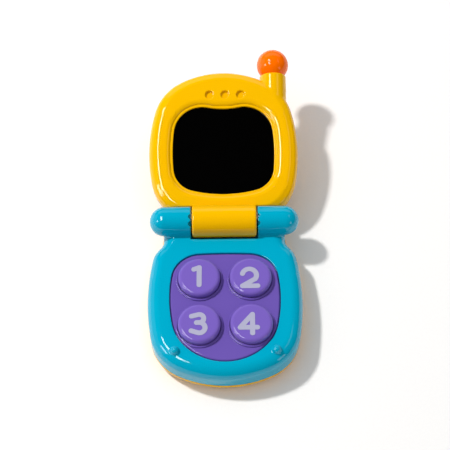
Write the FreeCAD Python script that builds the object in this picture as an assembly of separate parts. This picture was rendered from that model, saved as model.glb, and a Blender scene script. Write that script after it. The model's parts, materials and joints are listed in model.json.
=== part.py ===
import FreeCAD, Part

import math
import os

V = FreeCAD.Vector

# A flip phone toy, in millimetres. +Z is up, +Y runs from the keypad's foot to the lid.
# The origin is on the flat underside, on the middle line, a little towards the foot
# from the widest part of the keypad half.
# The lid is drawn lying flat, with its hinge axis on the X axis, and is then tilted
# and moved to the hinge. In its drawing, y is the distance from the hinge along the
# lid and z is the height over the hinge axis.

# Whole body
BODY_HALF_WIDTH = 42.9
WALL = 2.0
SHORT_GAP = 0.1
SEAM_GROOVE = 0.3
OVERSHOOT = 1.0
FAR = 200.0

# Hinge
HINGE_Y = 47.0
HINGE_OVER_FACE = 2.3
KNUCKLE_RADIUS = 8.33
KNUCKLE_END_X = 42.0
BARREL_RADIUS = 9.15
BARREL_HALF_LENGTH = 18.1
BARREL_EDGE_RADIUS = 1.2
BARREL_SIDE_GAP = 0.7
TROUGH_GAP = 1.05
TROUGH_WALL = 1.5
PIN_RADIUS = 1.5
PIN_HALF_LENGTH = 24.0
PIN_RUNNING_GAP = 0.05
LID_REST_ANGLE = 15.6

# Keypad half
BASE_HEIGHT = 21.0
BASE_PARTING = 7.0
BASE_EDGE_RADIUS = 7.0
BASE_FOOT_RADIUS = 6.5
BASE_WIDEST_Y = 1.0
BASE_SIDE_RADIUS = 130.0
BASE_FOOT_Y = -46.8
BASE_FOOT_ARC = 60.0
BASE_FOOT_CORNER = 27.0
BASE_NECK_HALF_WIDTH = 34.4
BASE_NECK_Y = 38.5
BASE_NECK_RADIUS = 7.0
BASE_SHOULDER_RADIUS = 14.0
BASE_REAR_Y = 54.0
BASE_REAR_CORNER = 13.0
BACK_NECK_HALF_WIDTH = 35.2
NUB_X = 27.5
NUB_Y = -32.1
NUB_RADIUS = 2.35
NUB_HEIGHT = 3.0
NOTCH_ANGLES = (50.0, 79.5)
NOTCH_RADIUS = 1.3
CREASE_RADIUS = 1.8
SHAFT_STEP = 1.0
SADDLE_HALF_WIDTH = 3.0

# Keypad plate and buttons. Each button has room to travel 1.8 mm down.
PLATE_HALF_WIDTH = 30.1
PLATE_WIDEST_Y = 0.7
PLATE_SIDE_RADIUS = 85.0
PLATE_REAR_Y = 27.4
PLATE_REAR_ARC = 270.0
PLATE_REAR_CORNER = 16.0
PLATE_FOOT_Y = -38.0
PLATE_FOOT_ARC = 30.0
PLATE_FOOT_CORNER = 24.5
PLATE_SUNK = 0.3
PLATE_THICKNESS = 2.0
PLATE_EDGE_RADIUS = 1.0
PLATE_GAP = 0.5
PLATE_FLANGE = 2.0
PLATE_FLANGE_THICKNESS = 1.5
PLATE_RIM = 1.5
PLATE_WINDOW_CHAMFER = 0.5
BUTTON_PITCH = 28.4
BUTTON_CENTER_Y = -3.2
BUTTON_RADIUS = 11.7
BUTTON_HEIGHT = 4.5
BUTTON_EDGE_RADIUS = 2.2
BUTTON_GAP = 0.3
BUTTON_WALL = 1.5
BUTTON_FLANGE = 1.2
BUTTON_FLANGE_THICKNESS = 1.2
BUTTON_STEM_RADIUS = 2.5
COLLAR_WIDTH = 1.1
COLLAR_HEIGHT = 0.9
COLLAR_EDGE_RADIUS = 0.5

# Numerals: strokes of one width with round ends
STROKE_HALF_WIDTH = 1.4
NUMERAL_DEPTH = 0.5
NUMERAL_PROUD = 0.15

# Electronics
BOARD_HALF_WIDTH = 27.0
BOARD_FOOT_Y = -32.5
BOARD_REAR_Y = 25.0
BOARD_CORNER = 5.0
BOARD_THICKNESS = 1.2
BOARD_TOP = 14.5
BOARD_SCREW_YS = (-30.3, 21.0)
BOARD_POST_RADIUS = 2.2
DOME_RADIUS = 5.0
DOME_WALL = 0.8
CHIP_RADIUS = 4.0
CHIP_HEIGHT = 1.6
CHIP_EDGE_RADIUS = 1.4
SPEAKER_Y = 20.0
SPEAKER_RADIUS = 13.5
SPEAKER_DEPTH = 3.0
SPEAKER_RIM = 1.6
SPEAKER_BACK_THICKNESS = 0.6
CONE_DEPTH = 1.6
CONE_THICKNESS = 0.6
CONE_LIFT = 0.6
MAGNET_RADIUS = 6.0
MAGNET_DEPTH = 2.6
SPEAKER_HOLE_RADIUS = 0.9
SPEAKER_HOLE_RINGS = ((0, 1), (3.6, 6), (7.2, 12))

# Batteries: two AAA cells side by side
CELL_RADIUS = 5.15
CELL_LENGTH = 43.7
CELL_EDGE_RADIUS = 0.5
CELL_TIP_RADIUS = 1.9
CELL_TIP_LENGTH = 0.8
CELL_PITCH = 10.8
CELL_BAY_Y = -15.0
CELL_BAY_HALF_X = 26.5
CELL_BAY_HALF_Y = 11.0
CELL_BAY_WALL = 1.2
CELL_BAY_TOP = 12.35
CELL_BAY_ROOF = 0.8
CONTACT_THICKNESS = 0.35
CONTACT_HALF_WIDTH = 4.0
DOOR_THICKNESS = 1.5
DOOR_SUNK = 0.25
DOOR_GAP = 0.25
DOOR_LEDGE = 1.3
DOOR_LEDGE_THICKNESS = 1.5
DOOR_TAB_LENGTH = 7.5
DOOR_TAB_HALF_WIDTH = 8.0
DOOR_CORNER = 2.0
DOOR_GROOVE_COUNT = 5
DOOR_GROOVE_PITCH = 2.4
DOOR_GROOVE_HALF_LENGTH = 9.0
DOOR_GROOVE_HALF_WIDTH = 0.6
DOOR_GROOVE_DEPTH = 0.5

# Screws and their columns
SCREW_SHANK_RADIUS = 1.1
SCREW_HEAD_RADIUS = 2.5
SCREW_HEAD_HEIGHT = 1.7
SCREW_SLOT_WIDTH = 0.9
SCREW_SLOT_DEPTH = 0.9
SCREW_SLOT_REACH = 1.55
SCREW_HOLE_GAP = 0.2
SCREW_WELL_RADIUS = 2.9
SCREW_COLUMN_RADIUS = 4.2
SCREW_BOSS_RADIUS = 3.0
CASE_SCREW_PLACES = ((36.2, 14.0), (32.6, -20.5))
CASE_SCREW_SEAT = 4.0
CASE_SCREW_LENGTH = 10.0
LID_SCREW_PLACES = ((32.5, 22.0), (31.5, 66.0))
LID_SCREW_SEAT = 5.0
LID_SCREW_LENGTH = 6.5
SMALL_SCREW_LENGTH = 5.0

# Power switch, in a recess of the underside
SWITCH_X = 22.0
SWITCH_Y = 38.0
SWITCH_TRAVEL = 3.0
KNOB_LENGTH = 4.0
KNOB_WIDTH = 3.2
KNOB_SUNK = 0.5
KNOB_SLOT_GAP = 0.3
KNOB_SLOT_CORNER = 1.0
KNOB_GROOVE_PITCH = 1.0
KNOB_GROOVE_HALF_WIDTH = 0.25
KNOB_GROOVE_DEPTH = 0.4
SWITCH_BODY_LENGTH = 11.0
SWITCH_BODY_WIDTH = 6.0
SWITCH_BODY_HEIGHT = 4.0
SWITCH_DISH_MARGIN = 2.2
SWITCH_DISH_DEPTH = 0.8

# Wires
WIRE_RADIUS = 0.6
WIRE_SPACING = 2.0
WIRE_RISE = 2.8
WIRE_TURN_SHARE = 0.45

# Lid, from its front face to its back
LID_FRONT = -2.3
LID_PARTING = -10.2
LID_BACK = -17.8
LID_HALF_WIDTH = 42.9
LID_WIDEST_Y = 42.0
LID_SIDE_RADIUS = 95.0
LID_TOP_Y = 91.4
LID_TOP_ARC = 54.0
LID_TOP_CORNER = 29.0
LID_FOOT_Y = -1.0
LID_FOOT_ARC = 60.0
LID_FOOT_CORNER = 26.0
LID_HEEL_Y = 9.3
LID_HEEL_EDGE_RADIUS = 1.0
LID_BEVEL_WIDTH = 5.0
LID_BEVEL_DROP = 2.4
LID_BEVEL_OUTER_RADIUS = 3.5
LID_BEVEL_INNER_RADIUS = 1.5
LID_BACK_EDGE_RADIUS = 6.0
NECK_HALF_WIDTH = 17.0
NECK_TOP = -3.6
NECK_BOTTOM = -8.2

# Screen window in the lid
SCREEN_HALF_WIDTH = 29.2
SCREEN_SIDE_RADIUS = 108.0
SCREEN_PEAK_Y = 69.6
SCREEN_DIP_Y = 68.4
SCREEN_TOP_CORNER = 16.4
SCREEN_FOOT_Y = 17.0
SCREEN_FOOT_ARC = 73.5
SCREEN_FOOT_CORNER = 14.0
SCREEN_SUNK = 3.0
SCREEN_LIP = 0.8
SCREEN_SLOPE_WIDTH = 4.4
SCREEN_THICKNESS = 1.5
SCREEN_LAP = 2.0
SCREEN_SEAT = 4.0
RETAINER_THICKNESS = 1.6
RETAINER_LAP = 2.0
RETAINER_REACH = 3.4
RETAINER_POST_RADIUS = 2.0
RETAINER_POST_PLACES = ((30.3, 32.0), (30.3, 52.0))

# Three dimples over the screen
DIMPLE_PITCH = 9.0
DIMPLE_X = 1.2
DIMPLE_Y = 76.5
DIMPLE_RADIUS = 2.7
DIMPLE_FLOOR_RADIUS = 1.7
DIMPLE_DEPTH = 1.3

# Antenna
ANTENNA_X = 29.4
ANTENNA_RADIUS = 7.7
ANTENNA_ROOT_Y = 74.0
ANTENNA_RIM_Y = 90.2
ANTENNA_RIM_RADIUS = 1.0
BALL_Y = 97.0
BALL_RADIUS = 9.25
BALL_PEG_RADIUS = 4.0
BALL_PEG_LENGTH = 16.0

# Stop lugs behind the knuckles, which hold the open lid at its rest angle
STOP_LUG_X = (22.0, 32.0)
STOP_LUG_ROOT = 5.0
STOP_LUG_GAP = 0.3
STOP_LUG_LEVELS = (-8.6, -5.2)

HINGE_Z = BASE_HEIGHT + HINGE_OVER_FACE
PLATE_TOP = BASE_HEIGHT - PLATE_SUNK
PLATE_UNDERSIDE = PLATE_TOP - PLATE_THICKNESS
FLANGE_TOP = BASE_HEIGHT - WALL
FLANGE_BOTTOM = FLANGE_TOP - PLATE_FLANGE_THICKNESS
BUTTON_TOP = PLATE_TOP + BUTTON_HEIGHT
BUTTON_BOTTOM = PLATE_UNDERSIDE - SHORT_GAP - BUTTON_FLANGE_THICKNESS
BOARD_BOTTOM = BOARD_TOP - BOARD_THICKNESS
CELL_Z = DOOR_SUNK + DOOR_THICKNESS + SHORT_GAP + CELL_RADIUS
SCREEN_FACE = LID_FRONT - SCREEN_SUNK
SCREEN_BACK = SCREEN_FACE - SCREEN_THICKNESS
KNUCKLE_BALL_X = KNUCKLE_END_X - KNUCKLE_RADIUS
KNUCKLE_INNER_X = BARREL_HALF_LENGTH + BARREL_SIDE_GAP
BARREL_BORE_RADIUS = BARREL_RADIUS - WALL
BUTTON_SPOTS = (
    (-BUTTON_PITCH / 2, BUTTON_CENTER_Y + BUTTON_PITCH / 2),
    (BUTTON_PITCH / 2, BUTTON_CENTER_Y + BUTTON_PITCH / 2),
    (-BUTTON_PITCH / 2, BUTTON_CENTER_Y - BUTTON_PITCH / 2),
    (BUTTON_PITCH / 2, BUTTON_CENTER_Y - BUTTON_PITCH / 2),
)


# ---------------------------------------------------------------- outlines

def meet(center_a, distance_a, center_b, distance_b, near):
    """The point at these distances from two centres, whichever lies nearer to a third point."""
    line = center_b - center_a
    span = line.Length
    along = (distance_a**2 - distance_b**2 + span**2) / (2 * span)
    off = math.sqrt(distance_a**2 - along**2)
    unit = line * (1 / span)
    side = V(-unit.y, unit.x, 0)
    points = [center_a + unit * along + side * off, center_a + unit * along - side * off]
    return min(points, key=lambda point: (point - near).Length)


def beyond(center, through, radius):
    """The point on a circle about center, on the ray through another point."""
    return center + (through - center).normalize() * radius


def arc(center, start, end):
    """The shorter arc about center from start to end."""
    radius = (start - center).Length
    middle = beyond(center, start + end - center, radius)
    return Part.Arc(start, middle, end).toShape()


def mirrored(point):
    return V(-point.x, point.y, point.z)


def loop_of(right_edges, crossing_edges):
    """A closed wire from the right-hand edges, their mirror images and what crosses X = 0."""
    left_edges = [edge.mirror(V(0, 0, 0), V(1, 0, 0)) for edge in right_edges]
    return Part.Wire(Part.__sortEdges__(right_edges + left_edges + crossing_edges))


def end_edges(side_center, side_radius, end_y, end_radius, corner_radius):
    """The corner arc and the end arc of an oval, and where the corner leaves the side."""
    inward = -1 if end_y > side_center.y else 1
    end_center = V(0, end_y + inward * end_radius, 0)
    outermost = V(side_center.x + side_radius, end_y, 0)
    corner = meet(side_center, side_radius - corner_radius,
                  end_center, end_radius - corner_radius, outermost)
    on_side = beyond(side_center, corner, side_radius)
    on_end = beyond(end_center, corner, end_radius)
    return on_side, arc(corner, on_side, on_end), arc(end_center, on_end, mirrored(on_end))


def oval(half_width, widest_y, rear, foot):
    """A closed oval. rear and foot are (side radius, end y, end radius, corner radius)."""
    widest = V(half_width, widest_y, 0)
    right_edges = []
    crossing_edges = []
    for side_radius, end_y, end_radius, corner_radius in (rear, foot):
        side_center = V(half_width - side_radius, widest_y, 0)
        on_side, corner, end = end_edges(side_center, side_radius, end_y, end_radius, corner_radius)
        right_edges += [arc(side_center, widest, on_side), corner]
        crossing_edges.append(end)
    return loop_of(right_edges, crossing_edges)


def base_outline(neck_half_width=BASE_NECK_HALF_WIDTH):
    """The keypad half: round foot, bowed sides, and a waist just before the hinge."""
    side_center = V(BODY_HALF_WIDTH - BASE_SIDE_RADIUS, BASE_WIDEST_Y, 0)
    neck_center = V(neck_half_width + BASE_NECK_RADIUS, BASE_NECK_Y, 0)
    widest = V(BODY_HALF_WIDTH, BASE_WIDEST_Y, 0)
    shoulder = meet(side_center, BASE_SIDE_RADIUS - BASE_SHOULDER_RADIUS,
                    neck_center, BASE_NECK_RADIUS + BASE_SHOULDER_RADIUS, widest)
    foot_start, foot_corner, foot_end = end_edges(
        side_center, BASE_SIDE_RADIUS, BASE_FOOT_Y, BASE_FOOT_ARC, BASE_FOOT_CORNER)
    shoulder_start = beyond(side_center, shoulder, BASE_SIDE_RADIUS)
    shoulder_end = beyond(shoulder, neck_center, BASE_SHOULDER_RADIUS)
    neck_end = V(neck_half_width, BASE_NECK_Y, 0)
    rear_center = V(neck_half_width - BASE_REAR_CORNER, BASE_REAR_Y - BASE_REAR_CORNER, 0)
    rear_start = V(neck_half_width, rear_center.y, 0)
    rear_end = V(rear_center.x, BASE_REAR_Y, 0)
    right_edges = [
        foot_corner,
        arc(side_center, foot_start, shoulder_start),
        arc(shoulder, shoulder_start, shoulder_end),
        arc(neck_center, shoulder_end, neck_end),
        Part.LineSegment(neck_end, rear_start).toShape(),
        arc(rear_center, rear_start, rear_end),
    ]
    rear_edge = Part.LineSegment(rear_end, mirrored(rear_end)).toShape()
    return loop_of(right_edges, [foot_end, rear_edge])


def back_outline():
    """The yellow back shell of the base: its waist is a little fuller."""
    return base_outline(BACK_NECK_HALF_WIDTH)


def plate_outline():
    rear = (PLATE_SIDE_RADIUS, PLATE_REAR_Y, PLATE_REAR_ARC, PLATE_REAR_CORNER)
    foot = (PLATE_SIDE_RADIUS, PLATE_FOOT_Y, PLATE_FOOT_ARC, PLATE_FOOT_CORNER)
    return oval(PLATE_HALF_WIDTH, PLATE_WIDEST_Y, rear, foot)


def lid_outline():
    """An oval that runs on past the heel, where the lid is cut off straight."""
    top = (LID_SIDE_RADIUS, LID_TOP_Y, LID_TOP_ARC, LID_TOP_CORNER)
    foot = (LID_SIDE_RADIUS, LID_FOOT_Y, LID_FOOT_ARC, LID_FOOT_CORNER)
    return oval(LID_HALF_WIDTH, LID_WIDEST_Y, top, foot)


def screen_outline():
    """The window: two rounded top corners with a shallow dip between them."""
    side_center = V(SCREEN_HALF_WIDTH - SCREEN_SIDE_RADIUS, LID_WIDEST_Y, 0)
    corner_y = SCREEN_PEAK_Y - SCREEN_TOP_CORNER
    reach = SCREEN_SIDE_RADIUS - SCREEN_TOP_CORNER
    corner_x = side_center.x + math.sqrt(reach**2 - (corner_y - LID_WIDEST_Y)**2)
    corner = V(corner_x, corner_y, 0)
    rise = SCREEN_DIP_Y - corner_y
    dip_radius = (corner_x**2 + rise**2 - SCREEN_TOP_CORNER**2) / (2 * (SCREEN_TOP_CORNER - rise))
    dip_center = V(0, SCREEN_DIP_Y + dip_radius, 0)
    on_side = beyond(side_center, corner, SCREEN_SIDE_RADIUS)
    on_dip = beyond(corner, dip_center, SCREEN_TOP_CORNER)
    foot_start, foot_corner, foot_end = end_edges(
        side_center, SCREEN_SIDE_RADIUS, SCREEN_FOOT_Y, SCREEN_FOOT_ARC, SCREEN_FOOT_CORNER)
    right_edges = [foot_corner, arc(side_center, foot_start, on_side), arc(corner, on_side, on_dip)]
    return loop_of(right_edges, [foot_end, arc(dip_center, on_dip, mirrored(on_dip))])


# ---------------------------------------------------------------- solid helpers

def prism(wire, bottom, top):
    face = Part.Face(wire)
    face.translate(V(0, 0, bottom))
    return face.extrude(V(0, 0, top - bottom))


def grown(wire, distance):
    """The outline moved outwards, or inwards when distance is negative."""
    return wire.makeOffset2D(distance)


def rod(x, y, radius, bottom, top):
    return Part.makeCylinder(radius, top - bottom, V(x, y, bottom))


def tube(x, y, outer, inner, bottom, top):
    return rod(x, y, outer, bottom, top).cut(rod(x, y, inner, bottom, top))


def cross_rod(start_x, end_x, y, z, radius):
    """A cylinder along X."""
    return Part.makeCylinder(radius, end_x - start_x, V(start_x, y, z), V(1, 0, 0))


def block(low, high):
    """A box between two corners."""
    return Part.makeBox(high[0] - low[0], high[1] - low[1], high[2] - low[2], V(*low))


def slab(low_x, high_x, low_y, high_y, corner, bottom, top):
    """A plate with rounded corners."""
    plate = block((low_x, low_y, bottom), (high_x, high_y, top))
    uprights = [edge for edge in plate.Edges if edge.BoundBox.ZLength > (top - bottom) / 2]
    return plate.makeFillet(corner, uprights)


def level_edges(shape, level):
    """The edges that lie at one height."""
    near = 0.001
    flat = [edge for edge in shape.Edges if edge.BoundBox.ZLength < near]
    return [edge for edge in flat if abs(edge.BoundBox.ZMin - level) < near]


def funnel(outline, growth, bottom, top):
    """A solid that starts from an outline and widens evenly towards its top."""
    narrow = outline.copy()
    narrow.translate(V(0, 0, bottom))
    wide = grown(outline, growth)
    wide.translate(V(0, 0, top))
    return Part.makeLoft([narrow, wide], True, True)


def both_sides(shape):
    """A shape and its mirror image across X = 0."""
    return [shape, shape.mirror(V(0, 0, 0), V(1, 0, 0))]


def join(first, others):
    return first.fuse(others).removeSplitter()


def screw(x, y, head_side, seat, length):
    """A pan-head screw whose head sits below seat when head_side is -1, or above it for 1."""
    head_end = seat + head_side * SCREW_HEAD_HEIGHT
    low_head = min(seat, head_end)
    head = rod(x, y, SCREW_HEAD_RADIUS, low_head, low_head + SCREW_HEAD_HEIGHT)
    head = head.makeFillet(SCREW_SLOT_WIDTH / 2, level_edges(head, head_end))
    tip = seat - head_side * length
    shank = rod(x, y, SCREW_SHANK_RADIUS, min(seat, tip), max(seat, tip))
    slot_floor = head_end - head_side * SCREW_SLOT_DEPTH
    half = SCREW_SLOT_WIDTH / 2
    low = min(slot_floor, head_end)
    high = max(slot_floor, head_end)
    reach = SCREW_SLOT_REACH
    slot_a = block((x - reach, y - half, low), (x + reach, y + half, high))
    slot_b = block((x - half, y - reach, low), (x + half, y + reach, high))
    return join(head, [shank]).cut(slot_a).cut(slot_b)


def place_lid(shape):
    """Tilt a lid piece to its rest angle and move it to the hinge."""
    placed = shape.copy()
    placed.rotate(V(0, 0, 0), V(1, 0, 0), LID_REST_ANGLE)
    placed.translate(V(0, HINGE_Y, HINGE_Z))
    return placed


# ---------------------------------------------------------------- base shells

def base_front_outer():
    """The blue shell as a solid, with its hinge knuckles and the crease between them."""
    body = prism(base_outline(), BASE_PARTING, BASE_HEIGHT)
    body = body.makeFillet(BASE_EDGE_RADIUS, level_edges(body, BASE_HEIGHT))
    body = body.makeChamfer(SEAM_GROOVE, level_edges(body, BASE_PARTING))
    knuckles = cross_rod(-KNUCKLE_BALL_X, KNUCKLE_BALL_X, HINGE_Y, HINGE_Z, KNUCKLE_RADIUS)
    balls = both_sides(Part.makeSphere(KNUCKLE_RADIUS, V(KNUCKLE_BALL_X, HINGE_Y, HINGE_Z)))
    return join(body, [knuckles] + balls + [crease_fill()])


def crease_fill():
    """The concave fillet between the knuckles and the keypad face."""
    rise = BASE_HEIGHT + CREASE_RADIUS - HINGE_Z
    reach = math.sqrt((KNUCKLE_RADIUS + CREASE_RADIUS)**2 - rise**2)
    arc_center = V(0, HINGE_Y - reach, HINGE_Z + rise)
    axis = V(0, HINGE_Y, HINGE_Z)
    on_knuckle = beyond(arc_center, axis, CREASE_RADIUS)
    on_face = V(0, arc_center.y, BASE_HEIGHT)
    inside = V(0, HINGE_Y, BASE_HEIGHT - WALL)
    edges = [
        arc(arc_center, on_face, on_knuckle),
        Part.LineSegment(on_knuckle, inside).toShape(),
        Part.LineSegment(inside, on_face).toShape(),
    ]
    half_length = BASE_NECK_HALF_WIDTH - BASE_EDGE_RADIUS
    section = Part.Face(Part.Wire(edges))
    section.translate(V(-half_length, 0, 0))
    return section.extrude(V(2 * half_length, 0, 0))


def base_front_room(gap):
    """The space below the blue shell's face, kept clear of its walls by a gap."""
    ceiling = BASE_HEIGHT - WALL
    room = prism(grown(base_outline(), -WALL - gap), BASE_PARTING, ceiling)
    return room.makeFillet(BASE_EDGE_RADIUS - WALL - gap, level_edges(room, ceiling))


def base_front_cavity():
    """The space inside the blue shell, reaching up into both knuckles."""
    ceiling = BASE_HEIGHT - WALL
    room = base_front_room(0)
    inner_x = KNUCKLE_INNER_X + WALL
    trough_outside = BARREL_RADIUS + TROUGH_GAP + TROUGH_WALL
    room = room.cut(cross_rod(-inner_x, inner_x, HINGE_Y, HINGE_Z, trough_outside))
    inner_radius = KNUCKLE_RADIUS - WALL
    knuckle = cross_rod(inner_x, KNUCKLE_BALL_X, HINGE_Y, HINGE_Z, inner_radius)
    ball = Part.makeSphere(inner_radius, V(KNUCKLE_BALL_X, HINGE_Y, HINGE_Z))
    low = (inner_x, HINGE_Y - inner_radius, ceiling - WALL)
    high = (BASE_NECK_HALF_WIDTH - WALL, HINGE_Y + inner_radius - SHAFT_STEP, HINGE_Z)
    rooms = []
    for piece in (knuckle, ball, block(low, high)):
        rooms += both_sides(piece)
    return join(room, rooms)


def trough_cut():
    """The round trough for the barrel, open at the rear for the lid's neck."""
    half = KNUCKLE_INNER_X
    radius = BARREL_RADIUS + TROUGH_GAP
    trough = cross_rod(-half, half, HINGE_Y, HINGE_Z, radius)
    above = block((-half, HINGE_Y - radius, HINGE_Z), (half, HINGE_Y + 2 * radius, HINGE_Z + 2 * radius))
    rear = block((-half, HINGE_Y, HINGE_Z - radius), (half, HINGE_Y + 2 * radius, HINGE_Z))
    return join(trough, [above, rear])


def pin_slot():
    """The slot in one knuckle's end wall: round over the pin and open downwards."""
    low_x = KNUCKLE_INNER_X - OVERSHOOT
    high_x = KNUCKLE_INNER_X + WALL + OVERSHOOT
    hole = cross_rod(low_x, high_x, HINGE_Y, HINGE_Z, PIN_RADIUS)
    low = (low_x, HINGE_Y - PIN_RADIUS, HINGE_Z - KNUCKLE_RADIUS)
    high = (high_x, HINGE_Y + PIN_RADIUS, HINGE_Z)
    return hole.fuse(block(low, high))


def knuckle_notches():
    """Half-round grooves across the inner end face of one knuckle."""
    notches = []
    for angle in NOTCH_ANGLES:
        along = V(0, -math.cos(math.radians(angle)), math.sin(math.radians(angle)))
        start = V(KNUCKLE_INNER_X, HINGE_Y, HINGE_Z) + along * (KNUCKLE_RADIUS - WALL)
        notches.append(Part.makeCylinder(NOTCH_RADIUS, WALL + OVERSHOOT, start, along))
    return notches


def stop_lug():
    """A lug behind one knuckle. Its slanted face meets the lid's heel."""
    near_y = HINGE_Y + STOP_LUG_ROOT
    heel = LID_HEEL_Y - STOP_LUG_GAP
    slope = math.radians(LID_REST_ANGLE)
    corners = [V(0, near_y, HINGE_Z + STOP_LUG_LEVELS[0]), V(0, near_y, HINGE_Z + STOP_LUG_LEVELS[1])]
    for level in reversed(STOP_LUG_LEVELS):
        lid_z = (level - heel * math.sin(slope)) / math.cos(slope)
        y = heel * math.cos(slope) - lid_z * math.sin(slope)
        corners.append(V(0, HINGE_Y + y, HINGE_Z + level))
    face = Part.Face(Part.makePolygon(corners + [corners[0]]))
    face.translate(V(STOP_LUG_X[0], 0, 0))
    return face.extrude(V(STOP_LUG_X[1] - STOP_LUG_X[0], 0, 0))


def nub():
    """A small domed bumper: a short post with a round head."""
    post = rod(NUB_X, NUB_Y, NUB_RADIUS, BASE_HEIGHT - WALL, BASE_HEIGHT + NUB_HEIGHT - NUB_RADIUS)
    head = Part.makeSphere(NUB_RADIUS, V(NUB_X, NUB_Y, BASE_HEIGHT + NUB_HEIGHT - NUB_RADIUS))
    return post.fuse(head)


def case_screw_spots():
    return [(side * x, y) for x, y in CASE_SCREW_PLACES for side in (-1, 1)]


def plate_window():
    """The opening for the keypad plate, slightly wider at the face."""
    outline = grown(plate_outline(), PLATE_GAP)
    opening = prism(outline, BASE_HEIGHT - 2 * WALL, BASE_HEIGHT + WALL)
    edge = funnel(outline, PLATE_WINDOW_CHAMFER, BASE_HEIGHT - PLATE_WINDOW_CHAMFER, BASE_HEIGHT)
    return opening.fuse(edge)


def base_front_shell():
    shell = base_front_outer().cut(trough_cut()).cut(base_front_cavity())
    shell = shell.cut(plate_window())
    bosses = [rod(x, y, SCREW_BOSS_RADIUS, BASE_PARTING + SHORT_GAP, BASE_HEIGHT - WALL)
              for x, y in case_screw_spots()]
    shell = join(shell, bosses + both_sides(nub()) + both_sides(stop_lug()))
    for x, y in case_screw_spots():
        tip = CASE_SCREW_SEAT + CASE_SCREW_LENGTH + OVERSHOOT
        shell = shell.cut(rod(x, y, SCREW_SHANK_RADIUS, BASE_PARTING, tip))
    for slot in both_sides(pin_slot()):
        shell = shell.cut(slot)
    for notch in knuckle_notches():
        for cut in both_sides(notch):
            shell = shell.cut(cut)
    return shell


def base_back_outer():
    body = prism(back_outline(), 0, BASE_PARTING)
    body = body.makeFillet(BASE_FOOT_RADIUS - SEAM_GROOVE, level_edges(body, 0))
    return body.makeChamfer(SEAM_GROOVE, level_edges(body, BASE_PARTING))


def door_shape(margin, bottom, top):
    """The battery door's outline: a rounded plate with a screw tab towards the foot."""
    x = CELL_BAY_HALF_X + margin
    low_y = CELL_BAY_Y - CELL_BAY_HALF_Y - margin
    high_y = CELL_BAY_Y + CELL_BAY_HALF_Y + margin
    tab_x = DOOR_TAB_HALF_WIDTH + margin
    plate = slab(-x, x, low_y, high_y, DOOR_CORNER, bottom, top)
    tab = slab(-tab_x, tab_x, low_y - DOOR_TAB_LENGTH, low_y + DOOR_TAB_LENGTH, DOOR_CORNER, bottom, top)
    return join(plate, [tab])


def door_screw_y():
    return CELL_BAY_Y - CELL_BAY_HALF_Y - CELL_BAY_WALL - SCREW_BOSS_RADIUS


def cell_bay_block(margin, bottom, top):
    low = (-CELL_BAY_HALF_X - margin, CELL_BAY_Y - CELL_BAY_HALF_Y - margin, bottom)
    high = (CELL_BAY_HALF_X + margin, CELL_BAY_Y + CELL_BAY_HALF_Y + margin, top)
    return block(low, high)


def saddle():
    """A rib of the back shell that holds one end of the hinge pin from below."""
    low_x = KNUCKLE_INNER_X + WALL + SHORT_GAP
    near_y = HINGE_Y - SADDLE_HALF_WIDTH
    far_y = HINGE_Y + SADDLE_HALF_WIDTH
    rib = block((low_x, near_y, WALL / 2), (low_x + WALL, far_y, HINGE_Z))
    foot = block((low_x, near_y, WALL / 2), (low_x + 2 * WALL, far_y, BASE_PARTING))
    pin = cross_rod(low_x - OVERSHOOT, low_x + 2 * WALL, HINGE_Y, HINGE_Z, PIN_RADIUS)
    return rib.fuse(foot).cut(pin)


def speaker_holes():
    holes = []
    for ring_radius, count in SPEAKER_HOLE_RINGS:
        for index in range(count):
            turn = 2 * math.pi * index / count
            x = ring_radius * math.cos(turn)
            y = SPEAKER_Y + ring_radius * math.sin(turn)
            holes.append(rod(x, y, SPEAKER_HOLE_RADIUS, -OVERSHOOT, WALL + OVERSHOOT))
    return holes


def switch_slot(margin, bottom, top):
    """The slot that the power switch's knob runs in."""
    half_x = KNOB_LENGTH / 2 + SWITCH_TRAVEL / 2 + margin
    half_y = KNOB_WIDTH / 2 + margin
    low_x = SWITCH_X - half_x
    high_x = SWITCH_X + half_x
    return slab(low_x, high_x, SWITCH_Y - half_y, SWITCH_Y + half_y, KNOB_SLOT_CORNER, bottom, top)


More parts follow.
